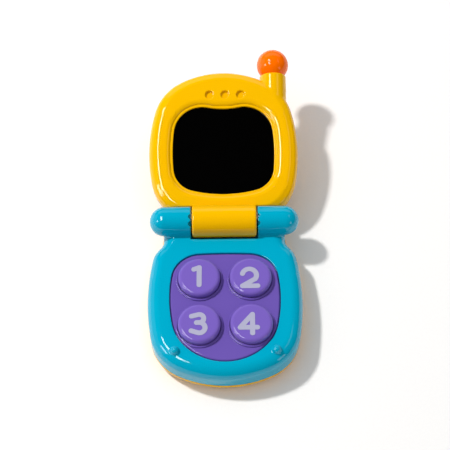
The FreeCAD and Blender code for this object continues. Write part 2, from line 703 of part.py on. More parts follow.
def base_back_shell():
    outer = base_back_outer()
    room = prism(grown(back_outline(), -WALL), WALL, BASE_PARTING)
    room = room.makeFillet(BASE_FOOT_RADIUS - WALL, level_edges(room, WALL))
    shell = outer.cut(room)
    columns = [rod(x, y, SCREW_COLUMN_RADIUS, 0, BASE_PARTING) for x, y in case_screw_spots()]
    columns = [column.common(outer) for column in columns]
    bay = cell_bay_block(CELL_BAY_WALL, WALL / 2, CELL_BAY_TOP + CELL_BAY_ROOF)
    door_boss = rod(0, door_screw_y(), SCREW_BOSS_RADIUS, WALL / 2, BASE_PARTING)
    ledge = door_shape(DOOR_LEDGE, WALL / 2, DOOR_SUNK + DOOR_THICKNESS + DOOR_LEDGE_THICKNESS)
    ring_room = SPEAKER_RADIUS + SHORT_GAP
    speaker_ring = tube(0, SPEAKER_Y, SPEAKER_RADIUS + WALL, ring_room, WALL / 2, BASE_PARTING)
    shell = join(shell, columns + [bay, door_boss, ledge, speaker_ring] + both_sides(saddle()))
    below = -OVERSHOOT
    above = BASE_PARTING + OVERSHOOT
    shell = shell.cut(cell_bay_block(0, below, CELL_BAY_TOP))
    shell = shell.cut(door_shape(DOOR_GAP, below, DOOR_SUNK + DOOR_THICKNESS))
    shell = shell.cut(rod(0, SPEAKER_Y, ring_room, WALL, above))
    shell = shell.cut(rod(0, door_screw_y(), SCREW_SHANK_RADIUS, below, above))
    for x, y in case_screw_spots():
        shell = shell.cut(rod(x, y, SCREW_WELL_RADIUS, below, CASE_SCREW_SEAT))
        shell = shell.cut(rod(x, y, SCREW_SHANK_RADIUS + SCREW_HOLE_GAP, 0, above))
    for hole in speaker_holes():
        shell = shell.cut(hole)
    shell = shell.cut(switch_slot(KNOB_SLOT_GAP, below, WALL + OVERSHOOT))
    return shell.cut(switch_slot(SWITCH_DISH_MARGIN, below, SWITCH_DISH_DEPTH))


# ---------------------------------------------------------------- keypad

def keypad_plate():
    """The purple plate: a skin with four collared holes, and a flange under the blue shell."""
    outline = plate_outline()
    skin = prism(outline, PLATE_UNDERSIDE, PLATE_TOP)
    skin = skin.makeFillet(PLATE_EDGE_RADIUS, level_edges(skin, PLATE_TOP))
    flange = prism(grown(outline, PLATE_FLANGE), FLANGE_BOTTOM, FLANGE_TOP)
    flange = flange.cut(prism(grown(outline, -PLATE_RIM), FLANGE_BOTTOM, FLANGE_TOP))
    flange = flange.common(base_front_room(SHORT_GAP))
    posts = [tube(0, y, BOARD_POST_RADIUS, SCREW_SHANK_RADIUS, BOARD_TOP, PLATE_UNDERSIDE)
             for y in BOARD_SCREW_YS]
    plate = join(skin, [flange, collars()] + posts)
    for x, y in BUTTON_SPOTS:
        plate = plate.cut(rod(x, y, BUTTON_RADIUS + BUTTON_GAP, FLANGE_BOTTOM, PLATE_TOP + WALL))
        under = rod(x, y, BUTTON_RADIUS + BUTTON_FLANGE + BUTTON_GAP, FLANGE_BOTTOM, PLATE_UNDERSIDE)
        plate = plate.cut(under)
    return plate


def collars():
    """A low rounded ring round each button, trimmed where it meets the plate's edge."""
    rings = []
    for x, y in BUTTON_SPOTS:
        outer = BUTTON_RADIUS + BUTTON_GAP + COLLAR_WIDTH
        ring = rod(x, y, outer, PLATE_UNDERSIDE, PLATE_TOP + COLLAR_HEIGHT)
        top = PLATE_TOP + COLLAR_HEIGHT
        rings.append(ring.makeFillet(COLLAR_EDGE_RADIUS, level_edges(ring, top)))
    inside_plate = prism(grown(plate_outline(), -PLATE_EDGE_RADIUS), PLATE_UNDERSIDE, PLATE_TOP + WALL)
    return rings[0].fuse(rings[1:]).common(inside_plate)


def button(number, x, y):
    """A hollow round cap with a rounded edge, a flange below and a stem for its dome."""
    cap = rod(x, y, BUTTON_RADIUS, BUTTON_BOTTOM, BUTTON_TOP)
    cap = cap.makeFillet(BUTTON_EDGE_RADIUS, level_edges(cap, BUTTON_TOP))
    flange_top = BUTTON_BOTTOM + BUTTON_FLANGE_THICKNESS
    flange = rod(x, y, BUTTON_RADIUS + BUTTON_FLANGE, BUTTON_BOTTOM, flange_top)
    cap = join(cap, [flange])
    hollow_radius = BUTTON_RADIUS - BUTTON_WALL
    hollow = rod(x, y, hollow_radius, BUTTON_BOTTOM, BUTTON_TOP - 2 * BUTTON_WALL)
    hollow = hollow.cut(rod(x, y, BUTTON_STEM_RADIUS, BUTTON_BOTTOM, BUTTON_TOP))
    return cap.cut(hollow).cut(numeral(number, x, y))


def turned(radius, degrees):
    """The point at this distance and direction from the origin."""
    return V(radius * math.cos(math.radians(degrees)), radius * math.sin(math.radians(degrees)), 0)


def stroke_line(start, end):
    """A straight stroke with round ends, as flat faces that overlap."""
    along = end - start
    side = V(-along.y, along.x, 0).normalize() * STROKE_HALF_WIDTH
    corners = [start + side, end + side, end - side, start - side]
    bar = Part.Face(Part.makePolygon(corners + [corners[0]]))
    caps = [Part.Face(Part.Wire(Part.makeCircle(STROKE_HALF_WIDTH, point))) for point in (start, end)]
    return [bar] + caps


def stroke_arc(center, radius, start_degrees, end_degrees):
    """A stroke along an arc, counter-clockwise from start to end, with round ends."""
    outer = radius + STROKE_HALF_WIDTH
    inner = radius - STROKE_HALF_WIDTH
    axis = V(0, 0, 1)
    outer_edge = Part.makeCircle(outer, center, axis, start_degrees, end_degrees)
    inner_edge = Part.makeCircle(inner, center, axis, start_degrees, end_degrees)
    faces = []
    joins = []
    for degrees in (start_degrees, end_degrees):
        ends = (center + turned(inner, degrees), center + turned(outer, degrees))
        joins.append(Part.LineSegment(*ends).toShape())
        cap = Part.makeCircle(STROKE_HALF_WIDTH, center + turned(radius, degrees))
        faces.append(Part.Face(Part.Wire(cap)))
    ring = Part.Wire(Part.__sortEdges__([outer_edge, inner_edge] + joins))
    return faces + [Part.Face(ring)]


def numeral_one():
    foot = V(0.0, -5.4, 0)
    top = V(0.1, 5.4, 0)
    flag = V(-2.9, 4.2, 0)
    return stroke_line(foot, top) + stroke_line(top, flag)


def numeral_two():
    bowl_center = V(-0.7, 0.2, 0)
    bowl_radius = 3.9
    bowl_low_end = -35
    bowl_tip = 165
    knee = bowl_center + turned(bowl_radius, bowl_low_end)
    foot_left = V(-4.6, -6.4, 0)
    foot_right = V(3.8, -6.4, 0)
    bowl = stroke_arc(bowl_center, bowl_radius, bowl_low_end, bowl_tip)
    return bowl + stroke_line(knee, foot_left) + stroke_line(foot_left, foot_right)


def numeral_three():
    upper_center = V(0.1, 2.4, 0)
    upper_radius = 2.4
    lower_center = V(0.1, -3.1, 0)
    lower_radius = 3.1
    bow_end = 90
    tail_start = 100
    upper_tip = V(-4.1, 3.8, 0)
    lower_tip = V(-4.3, -4.9, 0)
    upper = stroke_arc(upper_center, upper_radius, -bow_end, tail_start)
    lower = stroke_arc(lower_center, lower_radius, -tail_start, bow_end)
    upper_tail = stroke_line(upper_center + turned(upper_radius, tail_start), upper_tip)
    lower_tail = stroke_line(lower_center + turned(lower_radius, -tail_start), lower_tip)
    waist = V(upper_center.x, upper_center.y - upper_radius, 0)
    middle_length = V(1.5, 0, 0)
    middle = stroke_line(waist - middle_length, waist)
    return upper + lower + upper_tail + lower_tail + middle


def numeral_four():
    top = V(0.5, 4.6, 0)
    foot = V(0.4, -6.6, 0)
    corner = V(-6.2, -3.2, 0)
    tip = V(3.1, -3.2, 0)
    return stroke_line(foot, top) + stroke_line(top, corner) + stroke_line(corner, tip)


NUMERALS = {1: numeral_one, 2: numeral_two, 3: numeral_three, 4: numeral_four}


def numeral(number, x, y):
    """One numeral as a solid let into its button."""
    faces = NUMERALS[number]()
    bottom = BUTTON_TOP - NUMERAL_DEPTH
    solids = [face.extrude(V(0, 0, NUMERAL_DEPTH + NUMERAL_PROUD)) for face in faces]
    shape = join(solids[0], solids[1:])
    shape.translate(V(x, y, bottom))
    return shape


def return_dome(x, y):
    """A silicone dome on the board, with its top against the button's stem."""
    height = BUTTON_BOTTOM - BOARD_TOP
    outer = Part.makeCone(DOME_RADIUS, BUTTON_STEM_RADIUS, height, V(x, y, BOARD_TOP))
    inner_height = height - DOME_WALL
    top_radius = BUTTON_STEM_RADIUS - DOME_WALL / 2
    inner = Part.makeCone(DOME_RADIUS - DOME_WALL, top_radius, inner_height, V(x, y, BOARD_TOP))
    return outer.cut(inner)


# ---------------------------------------------------------------- electronics

def circuit_board():
    board = slab(-BOARD_HALF_WIDTH, BOARD_HALF_WIDTH, BOARD_FOOT_Y, BOARD_REAR_Y, BOARD_CORNER,
                 BOARD_BOTTOM, BOARD_TOP)
    for y in BOARD_SCREW_YS:
        board = board.cut(rod(0, y, SCREW_SHANK_RADIUS, BOARD_BOTTOM, BOARD_TOP))
    return board


def board_screws():
    return Part.makeCompound([screw(0, y, -1, BOARD_BOTTOM, SMALL_SCREW_LENGTH) for y in BOARD_SCREW_YS])


def sound_chip():
    """A blob of black epoxy over the sound chip, on the board between the four buttons."""
    blob = rod(0, BUTTON_CENTER_Y, CHIP_RADIUS, BOARD_TOP, BOARD_TOP + CHIP_HEIGHT)
    return blob.makeFillet(CHIP_EDGE_RADIUS, level_edges(blob, BOARD_TOP + CHIP_HEIGHT))


def speaker_frame():
    """A shallow steel basket with its open side towards the underside's holes."""
    basket = rod(0, SPEAKER_Y, SPEAKER_RADIUS, WALL, WALL + SPEAKER_DEPTH)
    back = WALL + SPEAKER_DEPTH - SPEAKER_BACK_THICKNESS
    return basket.cut(rod(0, SPEAKER_Y, SPEAKER_RADIUS - SPEAKER_RIM, WALL, back))


def speaker_cone():
    """A shallow paper cone, hollow towards the underside's holes."""
    foot = V(0, SPEAKER_Y, WALL + CONE_LIFT)
    rim_radius = SPEAKER_RADIUS - SPEAKER_RIM
    neck_radius = MAGNET_RADIUS / 2
    outer = Part.makeCone(rim_radius, neck_radius, CONE_DEPTH, foot)
    inner_rim = rim_radius - CONE_THICKNESS
    inner_neck = neck_radius - CONE_THICKNESS
    return outer.cut(Part.makeCone(inner_rim, inner_neck, CONE_DEPTH - CONE_THICKNESS, foot))


def speaker_magnet():
    bottom = WALL + SPEAKER_DEPTH
    return rod(0, SPEAKER_Y, MAGNET_RADIUS, bottom, bottom + MAGNET_DEPTH)


def battery_cell(side):
    """One AAA cell along X. The two cells point opposite ways."""
    y = CELL_BAY_Y + side * CELL_PITCH / 2
    body = cross_rod(-CELL_LENGTH / 2, CELL_LENGTH / 2, y, CELL_Z, CELL_RADIUS)
    ends = [edge for edge in body.Edges if edge.BoundBox.XLength < SHORT_GAP]
    body = body.makeFillet(CELL_EDGE_RADIUS, ends)
    tip = cross_rod(CELL_LENGTH / 2, CELL_LENGTH / 2 + CELL_TIP_LENGTH, y, CELL_Z, CELL_TIP_RADIUS)
    if side < 0:
        tip = tip.mirror(V(0, 0, 0), V(1, 0, 0))
    return join(body, [tip])


def battery_link_contact():
    """The plate that joins the two cells at the left end of the bay."""
    outer_x = -CELL_BAY_HALF_X
    low = (outer_x, CELL_BAY_Y - CELL_PITCH / 2 - CONTACT_HALF_WIDTH, CELL_Z - CONTACT_HALF_WIDTH)
    high = (outer_x + CONTACT_THICKNESS, CELL_BAY_Y + CELL_PITCH / 2 + CONTACT_HALF_WIDTH,
            CELL_Z + CONTACT_HALF_WIDTH)
    reach = CELL_BAY_HALF_X - CELL_LENGTH / 2
    negative = spring_leaf(outer_x + CONTACT_THICKNESS, CELL_BAY_Y + CELL_PITCH / 2, reach, 1)
    positive = spring_leaf(outer_x + CONTACT_THICKNESS, CELL_BAY_Y - CELL_PITCH / 2,
                           reach - CELL_TIP_LENGTH, 1)
    return join(block(low, high), [negative, positive])


def spring_leaf(x, y, reach, direction):
    """A bent leaf that stands out from a contact plate and presses on a cell's end."""
    length = reach - CONTACT_THICKNESS - SHORT_GAP
    half = CONTACT_HALF_WIDTH / 2
    foot = CELL_Z - CONTACT_HALF_WIDTH
    profile = [
        V(x, y, foot),
        V(x + direction * length, y, CELL_Z - CONTACT_THICKNESS),
        V(x + direction * length, y, CELL_Z + CONTACT_THICKNESS),
        V(x + direction * (length - CONTACT_THICKNESS), y, CELL_Z + CONTACT_THICKNESS),
        V(x + direction * (length - CONTACT_THICKNESS), y, CELL_Z),
        V(x, y, foot + 2 * CONTACT_THICKNESS),
    ]
    face = Part.Face(Part.makePolygon(profile + [profile[0]]))
    face.translate(V(0, -half, 0))
    return face.extrude(V(0, 2 * half, 0))


def battery_terminal_contacts():
    """Two separate plates at the right end of the bay."""
    outer_x = CELL_BAY_HALF_X
    reach = CELL_BAY_HALF_X - CELL_LENGTH / 2
    plates = []
    for side, tip in ((-1, 0), (1, CELL_TIP_LENGTH)):
        y = CELL_BAY_Y + side * CELL_PITCH / 2
        low = (outer_x - CONTACT_THICKNESS, y - CONTACT_HALF_WIDTH, CELL_Z - CONTACT_HALF_WIDTH)
        high = (outer_x, y + CONTACT_HALF_WIDTH, CELL_Z + CONTACT_HALF_WIDTH)
        leaf = spring_leaf(outer_x - CONTACT_THICKNESS, y, reach - tip, -1)
        plates.append(join(block(low, high), [leaf]))
    return Part.makeCompound(plates)


def battery_door():
    """The door, with its screw hole and a few grip grooves across it."""
    door = door_shape(0, DOOR_SUNK, DOOR_SUNK + DOOR_THICKNESS)
    y = door_screw_y()
    door = door.cut(rod(0, y, SCREW_SHANK_RADIUS + SCREW_HOLE_GAP, 0, DOOR_SUNK + DOOR_THICKNESS))
    recess_depth = SCREW_HEAD_HEIGHT / 2
    door = door.cut(rod(0, y, SCREW_WELL_RADIUS, 0, DOOR_SUNK + recess_depth))
    for index in range(DOOR_GROOVE_COUNT):
        y = CELL_BAY_Y + (index - (DOOR_GROOVE_COUNT - 1) / 2) * DOOR_GROOVE_PITCH
        groove = slab(-DOOR_GROOVE_HALF_LENGTH, DOOR_GROOVE_HALF_LENGTH,
                      y - DOOR_GROOVE_HALF_WIDTH, y + DOOR_GROOVE_HALF_WIDTH, DOOR_GROOVE_DEPTH,
                      0, DOOR_SUNK + DOOR_GROOVE_DEPTH)
        door = door.cut(groove)
    return door


def battery_door_screw():
    seat = DOOR_SUNK + SCREW_HEAD_HEIGHT / 2
    fastener = screw(0, door_screw_y(), -1, seat, SMALL_SCREW_LENGTH)
    return fastener.common(rod(0, door_screw_y(), SCREW_WELL_RADIUS, SHORT_GAP, BASE_HEIGHT))


def case_screws():
    screws = [screw(x, y, -1, CASE_SCREW_SEAT, CASE_SCREW_LENGTH) for x, y in case_screw_spots()]
    return Part.makeCompound(screws)


def power_switch_knob():
    """The sliding knob, shown at its off end."""
    center_x = SWITCH_X - SWITCH_TRAVEL / 2
    stem = block((center_x - KNOB_LENGTH / 2, SWITCH_Y - KNOB_WIDTH / 2, KNOB_SUNK),
                 (center_x + KNOB_LENGTH / 2, SWITCH_Y + KNOB_WIDTH / 2, WALL + SWITCH_BODY_HEIGHT / 2))
    for index in (-1, 0, 1):
        groove_x = center_x + index * KNOB_GROOVE_PITCH
        low = (groove_x - KNOB_GROOVE_HALF_WIDTH, SWITCH_Y - KNOB_WIDTH, 0)
        high = (groove_x + KNOB_GROOVE_HALF_WIDTH, SWITCH_Y + KNOB_WIDTH, KNOB_SUNK + KNOB_GROOVE_DEPTH)
        stem = stem.cut(block(low, high))
    return stem


def power_switch_body():
    """The switch's case on the floor of the back shell, with a channel for the knob."""
    low = (SWITCH_X - SWITCH_BODY_LENGTH / 2, SWITCH_Y - SWITCH_BODY_WIDTH / 2, WALL)
    high = (SWITCH_X + SWITCH_BODY_LENGTH / 2, SWITCH_Y + SWITCH_BODY_WIDTH / 2, WALL + SWITCH_BODY_HEIGHT)
    channel = switch_slot(KNOB_SLOT_GAP, 0, WALL + SWITCH_BODY_HEIGHT / 2 + SHORT_GAP)
    return block(low, high).cut(channel)


def wire(points):
    """A wire of straight runs joined by tangent arcs."""
    edges = []
    start = points[0]
    for before, corner, after in zip(points, points[1:], points[2:]):
        trim = WIRE_TURN_SHARE * min((before - corner).Length, (after - corner).Length)
        leave = beyond(corner, before, trim)
        enter = beyond(corner, after, trim)
        half_chord = (leave - enter).Length / 2
        to_middle = ((leave + enter) * 0.5 - corner).Length
        radius = trim * half_chord / to_middle
        bend = beyond(corner, (leave + enter) * 0.5, trim**2 / to_middle)
        edges.append(Part.LineSegment(start, leave).toShape())
        edges.append(Part.Arc(leave, beyond(bend, corner, radius), enter).toShape())
        start = enter
    edges.append(Part.LineSegment(start, points[-1]).toShape())
    section = Part.Wire(Part.makeCircle(WIRE_RADIUS, points[0], points[1] - points[0]))
    return Part.Wire(edges).makePipeShell([section], True, True)


def speaker_leads():
    """Two wires from the speaker's back up to the board's underside."""
    start_y = SPEAKER_Y + MAGNET_RADIUS + WIRE_SPACING
    base = WALL + SPEAKER_DEPTH
    leads = []
    for side in (-1, 1):
        x = side * WIRE_SPACING
        end_x = x + side * WIRE_SPACING
        points = [
            V(x, start_y, base),
            V(x, start_y, base + WIRE_RISE),
            V(end_x, start_y - WIRE_RISE, BOARD_BOTTOM - WIRE_RISE),
            V(end_x, start_y - WIRE_RISE, BOARD_BOTTOM),
        ]
        leads.append(wire(points))
    return Part.makeCompound(leads)


# ---------------------------------------------------------------- lid

def past_heel(shape, margin):
    """What lies beyond the straight heel, seen from the hinge."""
    return shape.common(block((-FAR, LID_HEEL_Y + margin, -FAR), (FAR, FAR, FAR)))


def soft_heel(shape):
    """Round the heel's edges, apart from the one on the parting plane."""
    heel_edges = [edge for edge in shape.Edges if edge.BoundBox.YMax < LID_HEEL_Y + SHORT_GAP]
    heel_edges = [edge for edge in heel_edges if abs(edge.BoundBox.Center.z - LID_PARTING) > SHORT_GAP]
    return shape.makeFillet(LID_HEEL_EDGE_RADIUS, heel_edges)


def lid_front_outer():
    """The lid's front half as a solid: a bevel with both its edges rounded."""
    body = prism(lid_outline(), LID_PARTING, LID_FRONT)
    body = body.makeChamfer(LID_BEVEL_DROP, LID_BEVEL_WIDTH, level_edges(body, LID_FRONT))
    bevel_foot = LID_FRONT - LID_BEVEL_DROP
    body = body.makeFillet(LID_BEVEL_OUTER_RADIUS, level_edges(body, bevel_foot))
    body = body.makeFillet(LID_BEVEL_INNER_RADIUS, level_edges(body, LID_FRONT))
    body = body.makeChamfer(SEAM_GROOVE, level_edges(body, LID_PARTING))
    return soft_heel(past_heel(body, 0))


def barrel():
    solid = cross_rod(-BARREL_HALF_LENGTH, BARREL_HALF_LENGTH, 0, 0, BARREL_RADIUS)
    ends = [edge for edge in solid.Edges if edge.BoundBox.XLength < SHORT_GAP]
    return solid.makeFillet(BARREL_EDGE_RADIUS, ends)


def barrel_bore():
    return cross_rod(-KNUCKLE_INNER_X, KNUCKLE_INNER_X, 0, 0, BARREL_BORE_RADIUS)


def neck():
    """The web between the barrel and the lid's heel."""
    low = (-NECK_HALF_WIDTH, 0, NECK_BOTTOM)
    high = (NECK_HALF_WIDTH, LID_HEEL_Y + WALL, NECK_TOP)
    return block(low, high)


def antenna_stub(radius):
    """The antenna's round stub along y, with its rim rounded."""
    length = ANTENNA_RIM_Y - ANTENNA_ROOT_Y
    stub = Part.makeCylinder(radius, length, V(ANTENNA_X, ANTENNA_ROOT_Y, LID_PARTING), V(0, 1, 0))
    rim = [edge for edge in stub.Edges if edge.BoundBox.YMin > ANTENNA_RIM_Y - SHORT_GAP]
    return stub.makeFillet(ANTENNA_RIM_RADIUS, rim)


def peg_hole():
    """The hole for the ball's peg, and the hollow that the ball sits in."""
    depth = BALL_PEG_LENGTH + OVERSHOOT
    mouth = BALL_Y - depth
    hole = Part.makeCylinder(BALL_PEG_RADIUS, depth, V(ANTENNA_X, mouth, LID_PARTING), V(0, 1, 0))
    socket = Part.makeSphere(BALL_RADIUS, V(ANTENNA_X, BALL_Y, LID_PARTING))
    return hole.fuse(socket)


def half_space(front):
    """A block that holds everything on one side of the lid's parting plane."""
    if front:
        return block((-FAR, -FAR, LID_PARTING), (FAR, FAR, FAR))
    return block((-FAR, -FAR, -FAR), (FAR, FAR, LID_PARTING))


def lid_screw_spots():
    return [(side * x, y) for x, y in LID_SCREW_PLACES for side in (-1, 1)]


def dimple(x):
    """A round dish with a flat floor."""
    floor = V(x, DIMPLE_Y, LID_FRONT - DIMPLE_DEPTH)
    return Part.makeCone(DIMPLE_FLOOR_RADIUS, DIMPLE_RADIUS, DIMPLE_DEPTH + SHORT_GAP, floor)


def lid_front_shell():
    outer = lid_front_outer()
    stub = antenna_stub(ANTENNA_RADIUS).common(half_space(True))
    outer = join(outer, [stub])
    ceiling = LID_FRONT - WALL
    cavity = prism(grown(lid_outline(), -WALL), LID_PARTING, ceiling)
    inner_edge = level_edges(cavity, ceiling)
    cavity = cavity.makeChamfer(LID_BEVEL_DROP, LID_BEVEL_WIDTH, inner_edge)
    seat = prism(grown(screen_outline(), SCREEN_SEAT), SCREEN_FACE, LID_FRONT)
    cavity = past_heel(cavity, WALL).cut(seat)
    shell = outer.cut(cavity)
    shell = shell.cut(screen_opening())
    bosses = [rod(x, y, SCREW_BOSS_RADIUS, LID_PARTING + SHORT_GAP, ceiling) for x, y in lid_screw_spots()]
    shell = join(shell, bosses + [barrel(), neck()])
    shell = shell.cut(barrel_bore()).cut(peg_hole())
    for x, y in lid_screw_spots():
        shell = shell.cut(rod(x, y, SCREW_SHANK_RADIUS, LID_PARTING, ceiling - OVERSHOOT))
    for index in (-1, 0, 1):
        shell = shell.cut(dimple(DIMPLE_X + index * DIMPLE_PITCH))
    return shell


def screen_opening():
    """The window: a short upright lip, then a wide slope up to the lid's face."""
    lip_top = SCREEN_FACE + SCREEN_LIP
    opening = prism(screen_outline(), SCREEN_FACE - WALL, lip_top)
    slope = funnel(screen_outline(), SCREEN_SLOPE_WIDTH, lip_top, LID_FRONT)
    above = prism(grown(screen_outline(), SCREEN_SLOPE_WIDTH), LID_FRONT, LID_FRONT + WALL)
    return opening.fuse([slope, above])


def lid_back_shell():
    outer = prism(lid_outline(), LID_BACK, LID_PARTING)
    outer = outer.makeFillet(LID_BACK_EDGE_RADIUS, level_edges(outer, LID_BACK))
    outer = outer.makeChamfer(SEAM_GROOVE, level_edges(outer, LID_PARTING))
    outer = soft_heel(past_heel(outer, 0))
    stub = antenna_stub(ANTENNA_RADIUS).common(half_space(False))
    outer = join(outer, [stub])
    floor = LID_BACK + WALL
    room = prism(grown(lid_outline(), -WALL), floor, LID_PARTING)
    room = room.makeFillet(LID_BACK_EDGE_RADIUS - WALL, level_edges(room, floor))
    room = past_heel(room, WALL)
    shell = outer.cut(room)
    columns = [rod(x, y, SCREW_COLUMN_RADIUS, LID_BACK, LID_PARTING).common(outer)
               for x, y in lid_screw_spots()]
    posts = [rod(side * x, y, RETAINER_POST_RADIUS, LID_BACK + WALL / 2, SCREEN_BACK - RETAINER_THICKNESS)
             for x, y in RETAINER_POST_PLACES for side in (-1, 1)]
    shell = join(shell, columns + posts)
    seat = LID_BACK + LID_SCREW_SEAT
    for x, y in lid_screw_spots():
        shell = shell.cut(rod(x, y, SCREW_WELL_RADIUS, LID_BACK - OVERSHOOT, seat))
        clear = SCREW_SHANK_RADIUS + SCREW_HOLE_GAP
        shell = shell.cut(rod(x, y, clear, LID_BACK, LID_PARTING + OVERSHOOT))
    return shell.cut(peg_hole())


def screen_panel():
    return prism(grown(screen_outline(), SCREEN_LAP), SCREEN_BACK, SCREEN_FACE)


def screen_retainer():
    """A frame behind the panel that holds it against the window's seat."""
    outline = screen_outline()
    bottom = SCREEN_BACK - RETAINER_THICKNESS
    frame = prism(grown(outline, RETAINER_REACH), bottom, SCREEN_BACK)
    return frame.cut(prism(grown(outline, -RETAINER_LAP), bottom, SCREEN_BACK))


def lid_screws():
    seat = LID_BACK + LID_SCREW_SEAT
    return Part.makeCompound([screw(x, y, -1, seat, LID_SCREW_LENGTH) for x, y in lid_screw_spots()])


def antenna_ball():
    """The ball and the peg that holds it in the stub."""
    ball = Part.makeSphere(BALL_RADIUS, V(ANTENNA_X, BALL_Y, LID_PARTING))
    foot = V(ANTENNA_X, BALL_Y - BALL_PEG_LENGTH, LID_PARTING)
    peg = Part.makeCylinder(BALL_PEG_RADIUS, BALL_PEG_LENGTH, foot, V(0, 1, 0))
    return join(ball, [peg])


def hinge_bushings():
    """One bushing in each end of the barrel, turning on the pin."""
    bushings = []
    for low_x in (-BARREL_HALF_LENGTH, BARREL_HALF_LENGTH - 2 * WALL):
        body = cross_rod(low_x, low_x + 2 * WALL, 0, 0, BARREL_BORE_RADIUS)
        bushings.append(body.cut(cross_rod(low_x, low_x + 2 * WALL, 0, 0, PIN_RADIUS + PIN_RUNNING_GAP)))
    return Part.makeCompound(bushings)


def hinge_pin():
    return cross_rod(-PIN_HALF_LENGTH, PIN_HALF_LENGTH, HINGE_Y, HINGE_Z, PIN_RADIUS)


# ---------------------------------------------------------------- output

def all_parts():
    parts = {
        "base_front_shell": base_front_shell(),
        "base_back_shell": base_back_shell(),
        "keypad_plate": keypad_plate(),
        "circuit_board": circuit_board(),
        "board_screws": board_screws(),
        "sound_chip": sound_chip(),
        "speaker_frame": speaker_frame(),
        "speaker_cone": speaker_cone(),
        "speaker_magnet": speaker_magnet(),
        "speaker_leads": speaker_leads(),
        "battery_cell_1": battery_cell(-1),
        "battery_cell_2": battery_cell(1),
        "battery_link_contact": battery_link_contact(),
        "battery_terminal_contacts": battery_terminal_contacts(),
        "battery_door": battery_door(),
        "battery_door_screw": battery_door_screw(),
        "case_screws": case_screws(),
        "power_switch_body": power_switch_body(),
        "power_switch_knob": power_switch_knob(),
        "hinge_pin": hinge_pin(),
    }
    for number, (x, y) in enumerate(BUTTON_SPOTS, start=1):
        parts[f"button_{number}"] = button(number, x, y)
        parts[f"numeral_{number}"] = numeral(number, x, y)
        parts[f"return_dome_{number}"] = return_dome(x, y)
    lid_pieces = {
        "lid_front_shell": lid_front_shell(),
        "lid_back_shell": lid_back_shell(),
        "screen_panel": screen_panel(),
        "screen_retainer": screen_retainer(),
        "lid_screws": lid_screws(),
        "antenna_ball": antenna_ball(),
        "hinge_bushings": hinge_bushings(),
    }
    for name, shape in lid_pieces.items():
        parts[name] = place_lid(shape)
    return parts


def main():
    os.makedirs("parts", exist_ok=True)
    for name, shape in all_parts().items():
        shape.exportStep(f"parts/{name}.step")
        print(name, shape.isValid(), round(shape.Volume, 1), len(shape.Solids))


main()
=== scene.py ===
import json
import math

import bpy
import numpy as np
from mathutils import Matrix, Vector


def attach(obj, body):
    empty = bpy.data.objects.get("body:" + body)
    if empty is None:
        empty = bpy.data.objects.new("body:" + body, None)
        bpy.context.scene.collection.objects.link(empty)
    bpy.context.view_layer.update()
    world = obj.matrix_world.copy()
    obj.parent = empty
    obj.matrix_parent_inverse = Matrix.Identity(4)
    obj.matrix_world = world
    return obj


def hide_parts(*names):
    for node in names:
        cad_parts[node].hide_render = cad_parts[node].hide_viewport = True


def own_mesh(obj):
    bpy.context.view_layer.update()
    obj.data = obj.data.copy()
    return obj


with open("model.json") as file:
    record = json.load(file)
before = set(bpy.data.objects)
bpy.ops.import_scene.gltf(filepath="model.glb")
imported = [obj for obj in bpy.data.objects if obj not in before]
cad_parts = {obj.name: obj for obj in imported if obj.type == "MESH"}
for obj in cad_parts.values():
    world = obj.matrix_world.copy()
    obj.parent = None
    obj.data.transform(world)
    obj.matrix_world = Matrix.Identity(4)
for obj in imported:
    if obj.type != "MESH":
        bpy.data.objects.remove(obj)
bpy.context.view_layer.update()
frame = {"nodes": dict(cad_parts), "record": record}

# ---------------------------------------------------------------- materials

# Blender's Mix node has one set of sockets per kind of value, and these are the ones for colours.
MIX_FACTOR = 0
MIX_FIRST = 6
MIX_SECOND = 7
MIX_RESULT = 2
# The middle part of a noise texture's range, where nearly all of its values lie
NOISE_LOW = 0.25
NOISE_HIGH = 0.75
# Scales are in features per metre, and depths in metres.
FLOW_SCALE = 45.0
GLOSS_SCALE = 160.0
GLOSS_LEAST = 0.85
GLOSS_MOST = 1.15
DRAWN_LINE_SCALE = 1800.0
DRAWN_LINE_DEPTH = 0.00001
DRAWN_LINE_SHADE = 0.8
DRAWN_LINE_SMOOTHEST = 0.8
DRAWN_LINE_ROUGHEST = 1.3
TRACK_SCALE = 260.0
TRACK_RANDOMNESS = 0.35
TRACK_DEPTH = 0.00003
TRACK_EDGE_START = 0.05
TRACK_EDGE_END = 0.09
BOARD_ROUGHNESS = (0.24, 0.36)
WEAVE_SCALE = 1500.0
WRAP_GRAIN_SCALE = 1200.0
WRAP_GRAIN_DEPTH = 0.000004
WRAP_BAND_START = 0.7
WRAP_BAND_END = 0.71
WRAP_ROUGHNESS = (0.2, 0.32)
WRAP_METALLIC = 0.6


def new_material(name):
    """An empty Principled material, with its nodes, its links and its shader."""
    material = bpy.data.materials.new(name)
    material.use_nodes = True
    nodes = material.node_tree.nodes
    nodes.clear()
    output = nodes.new("ShaderNodeOutputMaterial")
    shader = nodes.new("ShaderNodeBsdfPrincipled")
    material.node_tree.links.new(shader.outputs["BSDF"], output.inputs["Surface"])
    return material, nodes, material.node_tree.links, shader


def noise(nodes, links, coordinates, scale, detail=2.0):
    """A noise texture whose features are about 1 / scale metres."""
    texture = nodes.new("ShaderNodeTexNoise")
    texture.inputs["Scale"].default_value = scale
    texture.inputs["Detail"].default_value = detail
    links.new(coordinates.outputs["Object"], texture.inputs["Vector"])
    return texture.outputs["Fac"]


def ranged(nodes, links, value, low, high):
    """A 0 to 1 value mapped from its middle half onto low to high."""
    mapping = nodes.new("ShaderNodeMapRange")
    mapping.inputs["From Min"].default_value = NOISE_LOW
    mapping.inputs["From Max"].default_value = NOISE_HIGH
    mapping.inputs["To Min"].default_value = low
    mapping.inputs["To Max"].default_value = high
    links.new(value, mapping.inputs["Value"])
    return mapping.outputs["Result"]


